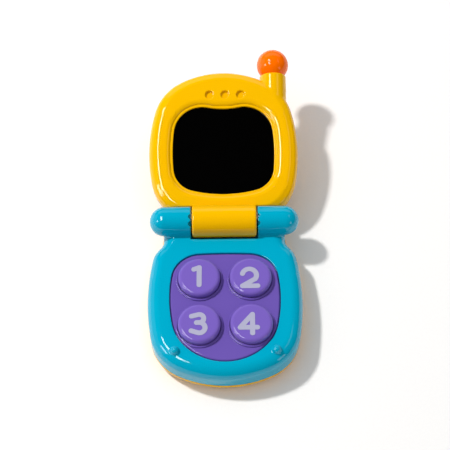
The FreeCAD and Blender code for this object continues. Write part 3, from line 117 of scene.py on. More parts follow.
def mixed(nodes, links, factor, first, second):
    """A colour that runs from the first to the second as the factor rises."""
    mix = nodes.new("ShaderNodeMix")
    mix.data_type = "RGBA"
    mix.inputs[MIX_FIRST].default_value = (*first, 1.0)
    mix.inputs[MIX_SECOND].default_value = (*second, 1.0)
    links.new(factor, mix.inputs[MIX_FACTOR])
    return mix.outputs[MIX_RESULT]


def bumped(nodes, links, shader, height, distance):
    """Relief of this many metres on the shader's surface."""
    bump = nodes.new("ShaderNodeBump")
    bump.inputs["Distance"].default_value = distance
    bump.inputs["Strength"].default_value = 1.0
    links.new(height, bump.inputs["Height"])
    links.new(bump.outputs["Normal"], shader.inputs["Normal"])


def moulded(name, color, roughness, drift=0.04, grain=900.0, depth=0.0000015, specular=0.5):
    """Injection-moulded plastic: slight flow marks in its colour, a faint orange-peel skin, uneven gloss."""
    material, nodes, links, shader = new_material(name)
    coordinates = nodes.new("ShaderNodeTexCoord")
    flow = noise(nodes, links, coordinates, FLOW_SCALE, 3.0)
    deeper = tuple(channel * (1.0 - drift) for channel in color)
    lighter = tuple(min(1.0, channel * (1.0 + drift)) for channel in color)
    links.new(mixed(nodes, links, flow, deeper, lighter), shader.inputs["Base Color"])
    gloss = noise(nodes, links, coordinates, GLOSS_SCALE, 2.0)
    uneven = ranged(nodes, links, gloss, roughness * GLOSS_LEAST, roughness * GLOSS_MOST)
    links.new(uneven, shader.inputs["Roughness"])
    bumped(nodes, links, shader, noise(nodes, links, coordinates, grain, 1.0), depth)
    shader.inputs["Specular IOR Level"].default_value = specular
    return material


def brushed(name, color, roughness=0.3):
    """Metal with fine drawn lines."""
    material, nodes, links, shader = new_material(name)
    coordinates = nodes.new("ShaderNodeTexCoord")
    lines = noise(nodes, links, coordinates, DRAWN_LINE_SCALE, 2.0)
    dull = tuple(channel * DRAWN_LINE_SHADE for channel in color)
    links.new(mixed(nodes, links, lines, dull, color), shader.inputs["Base Color"])
    uneven = ranged(nodes, links, lines, roughness * DRAWN_LINE_SMOOTHEST, roughness * DRAWN_LINE_ROUGHEST)
    links.new(uneven, shader.inputs["Roughness"])
    bumped(nodes, links, shader, lines, DRAWN_LINE_DEPTH)
    shader.inputs["Metallic"].default_value = 1.0
    return material


def lacquered_board(name, lacquer, copper):
    """A printed circuit board: copper tracks that show as a lighter, raised maze under the lacquer."""
    material, nodes, links, shader = new_material(name)
    coordinates = nodes.new("ShaderNodeTexCoord")
    tracks = nodes.new("ShaderNodeTexVoronoi")
    tracks.feature = "DISTANCE_TO_EDGE"
    tracks.distance = "EUCLIDEAN"
    tracks.inputs["Scale"].default_value = TRACK_SCALE
    tracks.inputs["Randomness"].default_value = TRACK_RANDOMNESS
    links.new(coordinates.outputs["Object"], tracks.inputs["Vector"])
    mask = nodes.new("ShaderNodeMapRange")
    mask.inputs["From Min"].default_value = TRACK_EDGE_START
    mask.inputs["From Max"].default_value = TRACK_EDGE_END
    mask.inputs["To Min"].default_value = 1.0
    mask.inputs["To Max"].default_value = 0.0
    links.new(tracks.outputs["Distance"], mask.inputs["Value"])
    links.new(mixed(nodes, links, mask.outputs["Result"], lacquer, copper), shader.inputs["Base Color"])
    weave = noise(nodes, links, coordinates, WEAVE_SCALE, 2.0)
    links.new(ranged(nodes, links, weave, *BOARD_ROUGHNESS), shader.inputs["Roughness"])
    bumped(nodes, links, shader, mask.outputs["Result"], TRACK_DEPTH)
    return material


def cell_wrap(name, body, band):
    """A battery cell's shrink wrap: a dark body with a coppery band at the end, and a fine metallic grain."""
    material, nodes, links, shader = new_material(name)
    coordinates = nodes.new("ShaderNodeTexCoord")
    split = nodes.new("ShaderNodeSeparateXYZ")
    links.new(coordinates.outputs["Generated"], split.inputs["Vector"])
    step = nodes.new("ShaderNodeMapRange")
    step.inputs["From Min"].default_value = WRAP_BAND_START
    step.inputs["From Max"].default_value = WRAP_BAND_END
    links.new(split.outputs["Y"], step.inputs["Value"])
    grain = noise(nodes, links, coordinates, WRAP_GRAIN_SCALE, 3.0)
    links.new(mixed(nodes, links, step.outputs["Result"], body, band), shader.inputs["Base Color"])
    links.new(ranged(nodes, links, grain, *WRAP_ROUGHNESS), shader.inputs["Roughness"])
    bumped(nodes, links, shader, grain, WRAP_GRAIN_DEPTH)
    shader.inputs["Metallic"].default_value = WRAP_METALLIC
    return material


LOOKS = {
    "yellow_plastic": moulded("yellow_plastic", (0.86, 0.455, 0.0), 0.07, drift=0.02),
    "blue_plastic": moulded("blue_plastic", (0.0, 0.36, 0.53), 0.06, drift=0.02),
    "purple_plastic": moulded("purple_plastic", (0.14, 0.086, 0.4), 0.12, drift=0.03),
    "button_purple": moulded("button_purple", (0.175, 0.108, 0.475), 0.09, drift=0.02),
    "numeral_lilac": moulded("numeral_lilac", (0.38, 0.38, 0.53), 0.4, drift=0.08, grain=1400.0),
    "orange_plastic": moulded("orange_plastic", (1.0, 0.155, 0.0), 0.05, drift=0.02, specular=0.4),
    "screen_black": moulded("screen_black", (0.0006, 0.0006, 0.0006), 0.08, depth=0.0000005, specular=0.25),
    "inner_white": moulded("inner_white", (0.75, 0.75, 0.72), 0.45, grain=1800.0, depth=0.00001),
    "steel": brushed("steel", (0.62, 0.62, 0.64)),
    "nickel": brushed("nickel", (0.72, 0.69, 0.62), 0.2),
    "magnet_steel": brushed("magnet_steel", (0.3, 0.3, 0.32), 0.4),
    "board_green": lacquered_board("board_green", (0.015, 0.13, 0.04), (0.06, 0.26, 0.08)),
    "chip_black": moulded("chip_black", (0.015, 0.015, 0.015), 0.5, drift=0.2, grain=2400.0, depth=0.00001),
    "knob_black": moulded("knob_black", (0.02, 0.02, 0.02), 0.4, drift=0.2, grain=2400.0, depth=0.000008),
    "cone_black": moulded("cone_black", (0.02, 0.02, 0.022), 0.6, drift=0.3, grain=1200.0, depth=0.00003),
    "wire_red": moulded("wire_red", (0.45, 0.01, 0.01), 0.35),
    "silicone": moulded("silicone", (0.6, 0.6, 0.62), 0.55, drift=0.06, grain=1600.0, depth=0.000008),
    "cell_jacket": cell_wrap("cell_jacket", (0.02, 0.03, 0.05), (0.55, 0.27, 0.1)),
}


def dress_cad_nodes():
    """Give each CAD node the look of its material slot."""
    for part in frame["record"]["subparts"]:
        node = frame["nodes"][part["node"]]
        node.data.materials.clear()
        node.data.materials.append(LOOKS[part["material_slot"]])


dress_cad_nodes()

# ---------------------------------------------------------------- outlines

# The shells are drawn in millimetres. A point of an outline is a complex number, x + iy.
# An outline is a closed chain of tangent arcs, kept for x >= 0 only. Each arc is
# (centre, radius, start, end, bulge), and bulge is 1 where the inside lies towards the
# centre and -1 where it lies away from it. A straight run is an arc of a very large radius.
STRAIGHT = 1.0e5
# Slack for rounding errors, so that an arc's own end points count as facing it
SLACK = 1e-12


def meet(center_a, distance_a, center_b, distance_b, near):
    """The point at these distances from two centres, whichever lies nearer to a third point."""
    line = center_b - center_a
    span = abs(line)
    along = (distance_a**2 - distance_b**2 + span**2) / (2 * span)
    off = math.sqrt(distance_a**2 - along**2)
    points = [center_a + line / span * complex(along, side * off) for side in (1, -1)]
    return min(points, key=lambda point: abs(point - near))


def beyond(center, through, radius):
    """The point at this distance from the centre, on the line through another point."""
    return center + (through - center) / abs(through - center) * radius


def mirrored(point):
    return complex(-point.real, point.imag)


def straight(start, end):
    """A straight run with the inside on its left."""
    middle = (start + end) / 2
    return middle + (end - start) / abs(end - start) * 1j * STRAIGHT, STRAIGHT, start, end, 1


def end_arcs(side_center, side_radius, end_y, end_radius, corner_radius):
    """Where the corner leaves the side, and the corner arc and the end arc."""
    inward = -1 if end_y > side_center.imag else 1
    end_center = complex(0, end_y + inward * end_radius)
    outermost = complex(side_center.real + side_radius, end_y)
    to_side = side_radius - corner_radius
    to_end = end_radius - corner_radius
    corner = meet(side_center, to_side, end_center, to_end, outermost)
    on_side = beyond(side_center, corner, side_radius)
    on_end = beyond(end_center, corner, end_radius)
    arcs = [
        (corner, corner_radius, on_side, on_end, 1),
        (end_center, end_radius, on_end, mirrored(on_end), 1),
    ]
    return on_side, arcs


def oval(half_width, widest_y, side_radius, ends):
    """A closed oval. Each end is (its y, its radius, its corners' radius)."""
    side_center = complex(half_width - side_radius, widest_y)
    widest = complex(half_width, widest_y)
    arcs = []
    for end in ends:
        on_side, others = end_arcs(side_center, side_radius, *end)
        arcs += [(side_center, side_radius, widest, on_side, 1)] + others
    return arcs


def distance_to(arcs, x, y):
    """Signed distance to an outline, negative inside."""
    x = np.abs(x)
    best = None
    for center, radius, start, end, bulge in arcs:
        from_center_x = x - center.real
        from_center_y = y - center.imag
        length = np.hypot(from_center_x, from_center_y)
        middle = (start + end) / 2 - center
        reach = abs(middle) / abs(start - center)
        middle = middle / abs(middle)
        facing = (from_center_x * middle.real + from_center_y * middle.imag) >= length * (reach - SLACK)
        radial = length - radius
        to_ends = np.minimum(np.hypot(x - start.real, y - start.imag), np.hypot(x - end.real, y - end.imag))
        apart = np.where(facing, np.abs(radial), to_ends)
        signed = np.copysign(apart, radial * bulge)
        best = signed if best is None else np.where(apart < np.abs(best), signed, best)
    return best


# ---------------------------------------------------------------- solids as distances

def round_union(a, b, radius):
    """The union of two solids with a concave fillet where they meet."""
    overlap = np.hypot(np.maximum(radius - a, 0), np.maximum(radius - b, 0))
    return np.maximum(radius, np.minimum(a, b)) - overlap


def round_common(a, b, radius):
    """The common part of two solids, with the edge between them rounded."""
    return -round_union(-a, -b, radius)


def round_cut(a, b, radius):
    return round_common(a, -b, radius)


def capsule_x(half_length, radius, x, y, z):
    """A rod along x with round ends."""
    past = np.maximum(np.abs(x) - half_length, 0)
    return np.sqrt(past**2 + y**2 + z**2) - radius


def drum_x(half_length, radius, edge, x, y, z):
    """A rod along x with flat ends and rounded edges."""
    return round_common(np.hypot(y, z) - radius, np.abs(x) - half_length, edge)


def pillar(place_x, place_y, radius, x, y):
    """An endless upright rod and its mirror image."""
    return np.hypot(np.abs(x) - place_x, y - place_y) - radius


def between(low, high, value):
    return np.maximum(low - value, value - high)


def net(solid, low, high, step):
    """A closed mesh of quads on the solid's surface, and its outward normals.

    Each grid cell that the surface crosses gets one vertex, which then moves onto the
    surface along the distance's slope."""
    axes = [np.arange(low[i] + step / 2, high[i], step) for i in range(3)]
    values = solid(axes[0][:, None, None], axes[1][None, :, None], axes[2][None, None, :])
    values = np.ascontiguousarray(np.broadcast_to(values, [len(axis) for axis in axes]))
    inside = values < 0
    cells = [len(axis) - 1 for axis in axes]
    total = np.zeros(cells + [3])
    count = np.zeros(cells)
    crossings = []
    for axis in range(3):
        first = [slice(None)] * 3
        second = [slice(None)] * 3
        first[axis] = slice(0, -1)
        second[axis] = slice(1, None)
        start = values[tuple(first)]
        finish = values[tuple(second)]
        crossing = inside[tuple(first)] != inside[tuple(second)]
        where = np.nonzero(crossing)
        share = start[where] / (start[where] - finish[where])
        place = np.stack(where, axis=1).astype(float)
        place[:, axis] += share
        others = [i for i in range(3) if i != axis]
        keep = np.ones(len(where[0]), bool)
        for other in others:
            keep &= (where[other] > 0) & (where[other] < values.shape[other] - 1)
        assert keep.all(), "the solid reaches the edge of its grid"
        for shift_a in (0, 1):
            for shift_b in (0, 1):
                cell = [index.copy() for index in where]
                cell[others[0]] -= shift_a
                cell[others[1]] -= shift_b
                flat = np.ravel_multi_index(cell, cells)
                for i in range(3):
                    total[..., i] += np.bincount(flat, place[:, i], total[..., i].size).reshape(cells)
                count += np.bincount(flat, minlength=count.size).reshape(cells)
        crossings.append((where, others, inside[tuple(first)][where]))
    used = count > 0
    number = np.full(cells, -1)
    number[used] = np.arange(used.sum())
    points = total[used] / count[used][:, None] * step + np.array([axis[0] for axis in axes])
    quads = []
    for axis, (where, others, starts_inside) in enumerate(crossings):
        ring = []
        for shift_a, shift_b in ((1, 1), (0, 1), (0, 0), (1, 0)):
            cell = [index.copy() for index in where]
            cell[others[0]] -= shift_a
            cell[others[1]] -= shift_b
            ring.append(number[tuple(cell)])
        quad = np.stack(ring, axis=1)
        flip = starts_inside if axis == 1 else ~starts_inside
        quad[flip] = quad[flip][:, ::-1]
        quads.append(quad)
    points, normals = settle(solid, points, step)
    return points, np.concatenate(quads), normals


SLOPE_SAMPLE = 0.01
SETTLE_ROUNDS = 5
LEAST_STEEPNESS = 0.1
NEARLY_ZERO = 1e-9


def slope_of(solid, points):
    """How fast the distance rises along each axis."""
    slope = np.zeros_like(points)
    for axis in range(3):
        shift = np.zeros(3)
        shift[axis] = SLOPE_SAMPLE
        ahead = solid(*(points + shift).T)
        behind = solid(*(points - shift).T)
        slope[:, axis] = (ahead - behind) / (2 * SLOPE_SAMPLE)
    return slope


def settle(solid, points, step):
    """Move points onto the surface, by no more than one grid step."""
    start = points.copy()
    for _ in range(SETTLE_ROUNDS):
        slope = slope_of(solid, points)
        steepness = np.maximum((slope**2).sum(axis=1), LEAST_STEEPNESS)
        points = points - slope * (solid(*points.T) / steepness)[:, None]
        moved = points - start
        length = np.linalg.norm(moved, axis=1)
        points = start + moved * np.minimum(1, step / np.maximum(length, NEARLY_ZERO))[:, None]
    slope = slope_of(solid, points)
    return points, slope / np.maximum(np.linalg.norm(slope, axis=1), NEARLY_ZERO)[:, None]


# ---------------------------------------------------------------- the two shells

WALL = 2.0
SHELL_STEP = 0.5
SCREW_HOLE = 1.1
BOSS_RADIUS = 3.0
BOSS_SETBACK = 0.1
SEAM_EDGE = 0.45

# In both halves, a foot or an end of an outline is (its y, its radius, its corners' radius).

# Keypad half. The lugs' top, bottom, front and heel are distances from the hinge axis.
BASE_HALF_WIDTH = 42.9
BASE_WIDEST_Y = 1.0
BASE_SIDE_RADIUS = 130.0
BASE_FOOT = (-46.8, 60.0, 27.0)
NECK_X = 34.4
NECK_Y = 38.5
NECK_RADIUS = 7.0
SHOULDER_RADIUS = 14.0
BASE_REAR_Y = 54.0
BASE_REAR_CORNER = 13.0
PLATE_HALF_WIDTH = 30.1
PLATE_WIDEST_Y = 0.7
PLATE_SIDE_RADIUS = 85.0
PLATE_ENDS = ((27.4, 270.0, 16.0), (-38.0, 30.0, 24.5))
PLATE_GAP = 0.5
PLATE_WINDOW_EDGE = 0.45
FACE_Z = 21.0
SEAM_Z = 7.0
FACE_EDGE = 7.0
HINGE_Y = 47.0
HINGE_Z = 23.3
KNUCKLE_RADIUS = 8.33
KNUCKLE_BALL_X = 42.0 - KNUCKLE_RADIUS
KNUCKLE_INNER_X = 18.8
KNUCKLE_BLEND = 1.7
BARREL_RADIUS = 9.15
BARREL_HALF_LENGTH = 18.1
TROUGH_RADIUS = BARREL_RADIUS + 1.05
TROUGH_WALL = 1.5
TROUGH_EDGE = 0.7
SHAFT_OUTER_X = 32.4
SHAFT_HALF_DEPTH = 5.3
SHAFT_LOW_Z = 16.0
GROOVE_ANGLES = (50.0, 79.5)
GROOVE_RADIUS = 1.3
GROOVE_EDGE = 0.3
BASE_BOSSES = ((36.2, 14.0), (32.6, -20.5))
BASE_BOSS_FILLET = 0.9
BASE_SCREW_TOP = 15.0
LUG_INNER_X = 22.0
LUG_OUTER_X = 32.0
LUG_BOTTOM = 8.6
LUG_TOP = 5.2
LUG_FRONT = 5.0
LUG_HEEL = 9.0
PIN_RADIUS = 1.5
PIN_SLOT_MARGIN = 1.0
NUB_RADIUS = 2.35
NUB_HEIGHT = 3.0
NUB_FILLET = 0.7
NUB_CENTER = (27.5, -32.1, FACE_Z + NUB_HEIGHT - NUB_RADIUS)


def base_outline():
    """The keypad half: round foot, bowed sides, and a waist just before the hinge."""
    side_center = complex(BASE_HALF_WIDTH - BASE_SIDE_RADIUS, BASE_WIDEST_Y)
    neck_center = complex(NECK_X + NECK_RADIUS, NECK_Y)
    widest = complex(BASE_HALF_WIDTH, BASE_WIDEST_Y)
    to_side = BASE_SIDE_RADIUS - SHOULDER_RADIUS
    to_neck = NECK_RADIUS + SHOULDER_RADIUS
    shoulder = meet(side_center, to_side, neck_center, to_neck, widest)
    foot_start, arcs = end_arcs(side_center, BASE_SIDE_RADIUS, *BASE_FOOT)
    on_side = beyond(side_center, shoulder, BASE_SIDE_RADIUS)
    on_neck = beyond(shoulder, neck_center, SHOULDER_RADIUS)
    neck_end = complex(NECK_X, NECK_Y)
    rear_center = complex(NECK_X - BASE_REAR_CORNER, BASE_REAR_Y - BASE_REAR_CORNER)
    rear_start = complex(NECK_X, rear_center.imag)
    rear_end = complex(rear_center.real, BASE_REAR_Y)
    return arcs + [
        (side_center, BASE_SIDE_RADIUS, foot_start, on_side, 1),
        (shoulder, SHOULDER_RADIUS, on_side, on_neck, 1),
        (neck_center, NECK_RADIUS, on_neck, neck_end, -1),
        straight(neck_end, rear_start),
        (rear_center, BASE_REAR_CORNER, rear_start, rear_end, 1),
        straight(rear_end, mirrored(rear_end)),
    ]


def plate_outline():
    return oval(PLATE_HALF_WIDTH, PLATE_WIDEST_Y, PLATE_SIDE_RADIUS, PLATE_ENDS)


BASE_OUTLINE = base_outline()
PLATE_OUTLINE = plate_outline()


def base_shell(x, y, z):
    """The blue shell, with its knuckles, window, nubs and hollow inside."""
    side = distance_to(BASE_OUTLINE, x, y)
    window = distance_to(PLATE_OUTLINE, x, y) - PLATE_GAP
    from_hinge_y = y - HINGE_Y
    from_hinge_z = z - HINGE_Z
    body = round_common(side, z - FACE_Z, FACE_EDGE)
    knuckles = capsule_x(KNUCKLE_BALL_X, KNUCKLE_RADIUS, x, from_hinge_y, from_hinge_z)
    outer = round_union(body, knuckles, KNUCKLE_BLEND)
    outer = round_common(outer, SEAM_Z - z, SEAM_EDGE)
    trough = np.minimum(
        np.hypot(from_hinge_y, from_hinge_z) - TROUGH_RADIUS,
        np.minimum(np.maximum(-from_hinge_z, -TROUGH_RADIUS - from_hinge_y),
                   np.maximum(-from_hinge_y, -TROUGH_RADIUS - from_hinge_z)))
    trough = np.maximum(trough, np.abs(x) - KNUCKLE_INNER_X)
    outer = round_cut(outer, trough, TROUGH_EDGE)
    inner_x = KNUCKLE_INNER_X + WALL
    room = round_common(side + WALL, z - (FACE_Z - WALL), FACE_EDGE - WALL)
    from_hinge = np.hypot(from_hinge_y, from_hinge_z)
    keep = np.maximum(from_hinge - TROUGH_RADIUS - TROUGH_WALL, np.abs(x) - inner_x)
    room = np.maximum(room, -keep)
    knuckle_room = capsule_x(KNUCKLE_BALL_X, KNUCKLE_RADIUS - WALL, x, from_hinge_y, from_hinge_z)
    knuckle_room = np.maximum(knuckle_room, inner_x - np.abs(x))
    shaft = np.maximum(np.abs(from_hinge_y) - SHAFT_HALF_DEPTH, between(SHAFT_LOW_Z, HINGE_Z, z))
    shaft = np.maximum(between(inner_x, SHAFT_OUTER_X, np.abs(x)), shaft)
    room = np.minimum(room, np.minimum(knuckle_room, shaft))
    shell = np.maximum(outer, -room)
    nub_x, nub_y, nub_z = NUB_CENTER
    nub_upright = pillar(nub_x, nub_y, NUB_RADIUS, x, y)
    nub_ball = np.sqrt((np.abs(x) - nub_x)**2 + (y - nub_y)**2 + (z - nub_z)**2) - NUB_RADIUS
    nub = np.minimum(np.maximum(nub_upright, between(FACE_Z - WALL, nub_z, z)), nub_ball)
    shell = round_union(shell, nub, NUB_FILLET)
    shell = round_cut(shell, window, PLATE_WINDOW_EDGE)
    for angle in GROOVE_ANGLES:
        turn = math.radians(angle)
        along = -from_hinge_y * math.cos(turn) + from_hinge_z * math.sin(turn)
        across = from_hinge_y * math.sin(turn) + from_hinge_z * math.cos(turn)
        groove = np.hypot(np.abs(x) - KNUCKLE_INNER_X, across) - GROOVE_RADIUS
        groove = np.maximum(groove, KNUCKLE_RADIUS - WALL - along)
        shell = round_cut(shell, groove, GROOVE_EDGE)
    for place_x, place_y in BASE_BOSSES:
        boss = pillar(place_x, place_y, BOSS_RADIUS, x, y)
        boss = np.maximum(boss, between(SEAM_Z + BOSS_SETBACK, FACE_Z - WALL, z))
        shell = round_union(shell, boss, BASE_BOSS_FILLET)
        hole = np.maximum(pillar(place_x, place_y, SCREW_HOLE, x, y), z - BASE_SCREW_TOP)
        shell = np.maximum(shell, -hole)
    lug = between(HINGE_Z - LUG_BOTTOM, HINGE_Z - LUG_TOP, z)
    lug = np.maximum(between(LUG_INNER_X, LUG_OUTER_X, np.abs(x)), lug)
    lean = math.radians(LID_ANGLE)
    heel = from_hinge_y * math.cos(lean) + from_hinge_z * math.sin(lean) - LUG_HEEL
    lug = np.maximum(lug, np.maximum(LUG_FRONT - from_hinge_y, heel))
    shell = np.minimum(shell, lug)
    slot = np.minimum(from_hinge, np.maximum(np.abs(from_hinge_y), from_hinge_z))
    slot_ends = between(KNUCKLE_INNER_X - PIN_SLOT_MARGIN, inner_x + PIN_SLOT_MARGIN, np.abs(x))
    return np.maximum(shell, -np.maximum(slot - PIN_RADIUS, slot_ends))


# Lid, lying flat with its hinge axis on the x axis
LID_HALF_WIDTH = 42.9
LID_WIDEST_Y = 42.0
LID_SIDE_RADIUS = 95.0
LID_ENDS = ((91.4, 54.0, 29.0), (-1.0, 60.0, 26.0))
LID_SIDE_EDGE = 2.6
LID_FRONT = -2.3
LID_SEAM = -10.2
LID_HEEL_Y = 9.3
LID_HEEL_EDGE = 1.0
LID_ANGLE = 15.6
BEVEL_WIDTH = 5.0
BEVEL_DROP = 2.4
BEVEL_EDGE = 0.4
SCREEN_HALF_WIDTH = 29.2
SCREEN_MIDDLE_Y = 42.0
SCREEN_SIDE_RADIUS = 108.0
SCREEN_CORNER = 16.4
SCREEN_PEAK_Y = 69.6
SCREEN_DIP_Y = 68.4
SCREEN_FOOT = (17.0, 73.5, 14.0)
SCREEN_FACE = LID_FRONT - 3.0
SCREEN_SEAT = 4.0
LIP_TOP = LID_FRONT - 1.4
LIP_WIDTH = 1.6
LIP_EDGE = 0.3
SLOPE_WIDTH = 4.6
SLOPE_CROWN = 1.7
SLOPE_LIMIT = 2.0
DIMPLE_RADIUS = 2.4
DIMPLE_DEPTH = 1.5
DIMPLE_MIDDLE_X = 1.2
DIMPLE_PITCH = 9.0
DIMPLE_Y = 76.5
DIMPLE_FLOOR_EDGE = 0.3
DIMPLE_RIM = 0.5
ANTENNA_X = 29.4
STUB_RADIUS = 7.7
STUB_START_Y = 74.0
STUB_END_Y = 90.2
STUB_EDGE = 1.0
STUB_FILLET = 0.7
STUB_FADE = 3.0
STUB_LEAST_FADE = 0.05
BALL_Y = 97.0
BALL_RADIUS = 9.25
PEG_RADIUS = 4.0
PEG_LENGTH = 17.0
LID_BOSSES = ((32.5, 22.0), (31.5, 66.0))
LID_BOSS_TOP = LID_FRONT - 1.0
LID_BOSS_FILLET = 1.35
LID_SCREW_TOP = LID_FRONT - WALL - 1.0
BARREL_EDGE = 1.2
WEB_HALF_WIDTH = 17.0
WEB_REACH = 11.3
WEB_BOTTOM = -8.2
WEB_TOP = -3.6
HINGE_FILLET = 0.8


def lid_outline():
    return oval(LID_HALF_WIDTH, LID_WIDEST_Y, LID_SIDE_RADIUS, LID_ENDS)


def screen_outline():
    """The window: two rounded top corners with a shallow dip between them."""
    side_center = complex(SCREEN_HALF_WIDTH - SCREEN_SIDE_RADIUS, SCREEN_MIDDLE_Y)
    corner_y = SCREEN_PEAK_Y - SCREEN_CORNER
    to_corner = SCREEN_SIDE_RADIUS - SCREEN_CORNER
    corner_x = side_center.real + math.sqrt(to_corner**2 - (corner_y - SCREEN_MIDDLE_Y)**2)
    corner = complex(corner_x, corner_y)
    rise = SCREEN_DIP_Y - corner_y
    dip_radius = (corner_x**2 + rise**2 - SCREEN_CORNER**2) / (2 * (SCREEN_CORNER - rise))
    dip_center = complex(0, SCREEN_DIP_Y + dip_radius)
    on_side = beyond(side_center, corner, SCREEN_SIDE_RADIUS)
    on_dip = beyond(corner, dip_center, SCREEN_CORNER)
    foot_start, arcs = end_arcs(side_center, SCREEN_SIDE_RADIUS, *SCREEN_FOOT)
    return arcs + [
        (side_center, SCREEN_SIDE_RADIUS, foot_start, on_side, 1),
        (corner, SCREEN_CORNER, on_side, on_dip, 1),
        (dip_center, dip_radius, on_dip, mirrored(on_dip), -1),
    ]


LID_OUTLINE = lid_outline()
SCREEN_OUTLINE = screen_outline()


def lid_shell(x, y, z):
    """The lid's front half with its bevel, window, dimples, barrel and half of the stub."""
    side = distance_to(LID_OUTLINE, x, y)
    window = distance_to(SCREEN_OUTLINE, x, y)
    bevel = BEVEL_DROP * side + BEVEL_WIDTH * (z - LID_FRONT + BEVEL_DROP)
    bevel = bevel / math.hypot(BEVEL_DROP, BEVEL_WIDTH)
    face = z - LID_FRONT
    body = round_common(face, bevel, BEVEL_EDGE)
    body = round_common(body, side, LID_SIDE_EDGE)
    body = round_common(body, LID_HEEL_Y - y, LID_HEEL_EDGE)
    stub = np.hypot(x - ANTENNA_X, z - LID_SEAM) - STUB_RADIUS
    stub = round_common(stub, y - STUB_END_Y, STUB_EDGE)
    stub = np.maximum(stub, STUB_START_Y - y)
    fade = np.clip((z - LID_SEAM) / STUB_FADE, STUB_LEAST_FADE, 1.0)
    outer = round_union(body, stub, STUB_FILLET * fade)
    depth = LID_FRONT - LIP_TOP
    across = np.clip((SLOPE_WIDTH - window) / (SLOPE_WIDTH - LIP_WIDTH), 0.0, SLOPE_LIMIT)
    upward = np.clip((z - LIP_TOP) / depth, 0.0, SLOPE_LIMIT)
    slope = (across**SLOPE_CROWN + upward**SLOPE_CROWN)**(1 / SLOPE_CROWN) - 1
    outer = np.maximum(outer, np.minimum(slope * depth, z - LIP_TOP))
    outer = round_common(outer, -window, LIP_EDGE)
    outer = round_common(outer, LID_SEAM - z, SEAM_EDGE)
    for index in (-1, 0, 1):
        from_axis = np.hypot(x - DIMPLE_MIDDLE_X - index * DIMPLE_PITCH, y - DIMPLE_Y)
        dish = round_common(from_axis - DIMPLE_RADIUS, LID_FRONT - DIMPLE_DEPTH - z, DIMPLE_FLOOR_EDGE)
        outer = round_cut(outer, dish, DIMPLE_RIM)
    room = np.maximum(np.maximum(side, bevel) + WALL, face + WALL)
    room = np.maximum(room, LID_HEEL_Y + WALL - y)
    seat = np.maximum(window - SCREEN_SEAT, SCREEN_FACE - z)
    room = np.maximum(room, -seat)
    shell = np.maximum(outer, -room)
    for place_x, place_y in LID_BOSSES:
        boss = pillar(place_x, place_y, BOSS_RADIUS, x, y)
        boss = np.maximum(boss, between(LID_SEAM + BOSS_SETBACK, LID_BOSS_TOP, z))
        shell = round_union(shell, boss, LID_BOSS_FILLET)
        hole = np.maximum(pillar(place_x, place_y, SCREW_HOLE, x, y), z - LID_SCREW_TOP)
        shell = np.maximum(shell, -hole)
    drum = drum_x(BARREL_HALF_LENGTH, BARREL_RADIUS, BARREL_EDGE, x, y, z)
    web = np.maximum(between(0.0, WEB_REACH, y), between(WEB_BOTTOM, WEB_TOP, z))
    web = np.maximum(np.abs(x) - WEB_HALF_WIDTH, web)
    hinge = round_union(drum, web, HINGE_FILLET)
    shell = round_union(shell, hinge, HINGE_FILLET)
    shell = np.maximum(shell, BARREL_RADIUS - WALL - np.hypot(y, z))
    ball = np.sqrt((x - ANTENNA_X)**2 + (y - BALL_Y)**2 + (z - LID_SEAM)**2) - BALL_RADIUS
    peg = np.hypot(x - ANTENNA_X, z - LID_SEAM) - PEG_RADIUS
    peg = np.maximum(peg, between(BALL_Y - PEG_LENGTH, BALL_Y, y))
    return np.maximum(shell, -np.minimum(ball, peg))


# ---------------------------------------------------------------- pieces

MM = 0.001


def to_row_frame(points, normals):
    """Tilt the lid's points to its rest angle and move them to the hinge."""
    turn = math.radians(LID_ANGLE)
    tilt = np.array([
        [1.0, 0.0, 0.0],
        [0.0, math.cos(turn), -math.sin(turn)],
        [0.0, math.sin(turn), math.cos(turn)],
    ])
    return points @ tilt.T + np.array([0.0, HINGE_Y, HINGE_Z]), normals @ tilt.T


def shell_piece(name, slot, node, body, points, quads, normals):
    """A smooth shell that stands for one CAD node."""
    mesh = bpy.data.meshes.new(name)
    mesh.from_pydata((points * MM).tolist(), [], quads.tolist())
    mesh.polygons.foreach_set("use_smooth", np.ones(len(quads), bool))
    mesh.normals_split_custom_set_from_vertices(normals.tolist())
    mesh.materials.append(LOOKS[slot])
    piece = bpy.data.objects.new(name, mesh)
    bpy.context.scene.collection.objects.link(piece)
    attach(piece, body)
    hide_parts(node)


# The low and high corners of the box that each shell is meshed in
BASE_BOX = ((-44.0, -47.5, 6.0), (44.0, 60.0, 32.6))
LID_BOX = ((-43.9, -10.2, -11.2), (43.9, 98.0, 10.2))


def make_shells():
    points, quads, normals = net(base_shell, *BASE_BOX, SHELL_STEP)
    shell_piece("keypad_shell", "blue_plastic", "base_front_shell", "base", points, quads, normals)
    points, quads, normals = net(lid_shell, *LID_BOX, SHELL_STEP)
    points, normals = to_row_frame(points, normals)
    shell_piece("lid_face", "yellow_plastic", "lid_front_shell", "lid", points, quads, normals)


# The silicone dome under each button, as radius and height over its foot. It runs up the
# outside, from the foot to the middle of the top, and back down the inside.
DOME_PROFILE = (
    (5.0, 0.0), (4.95, 0.35), (4.6, 0.8), (3.6, 1.9), (3.05, 2.45),
    (2.75, 2.72), (2.4, 2.83), (1.6, 2.85), (0.0, 2.85),
    (0.0, 2.05), (1.5, 2.05), (2.0, 1.98), (2.5, 1.6),
    (3.4, 0.65), (3.95, 0.25), (4.2, 0.0),
)
DOME_SIDES = 48
DOME_FOOT_Z = 14.5
BUTTON_PITCH = 28.4
BUTTON_MIDDLE_Y = -3.2


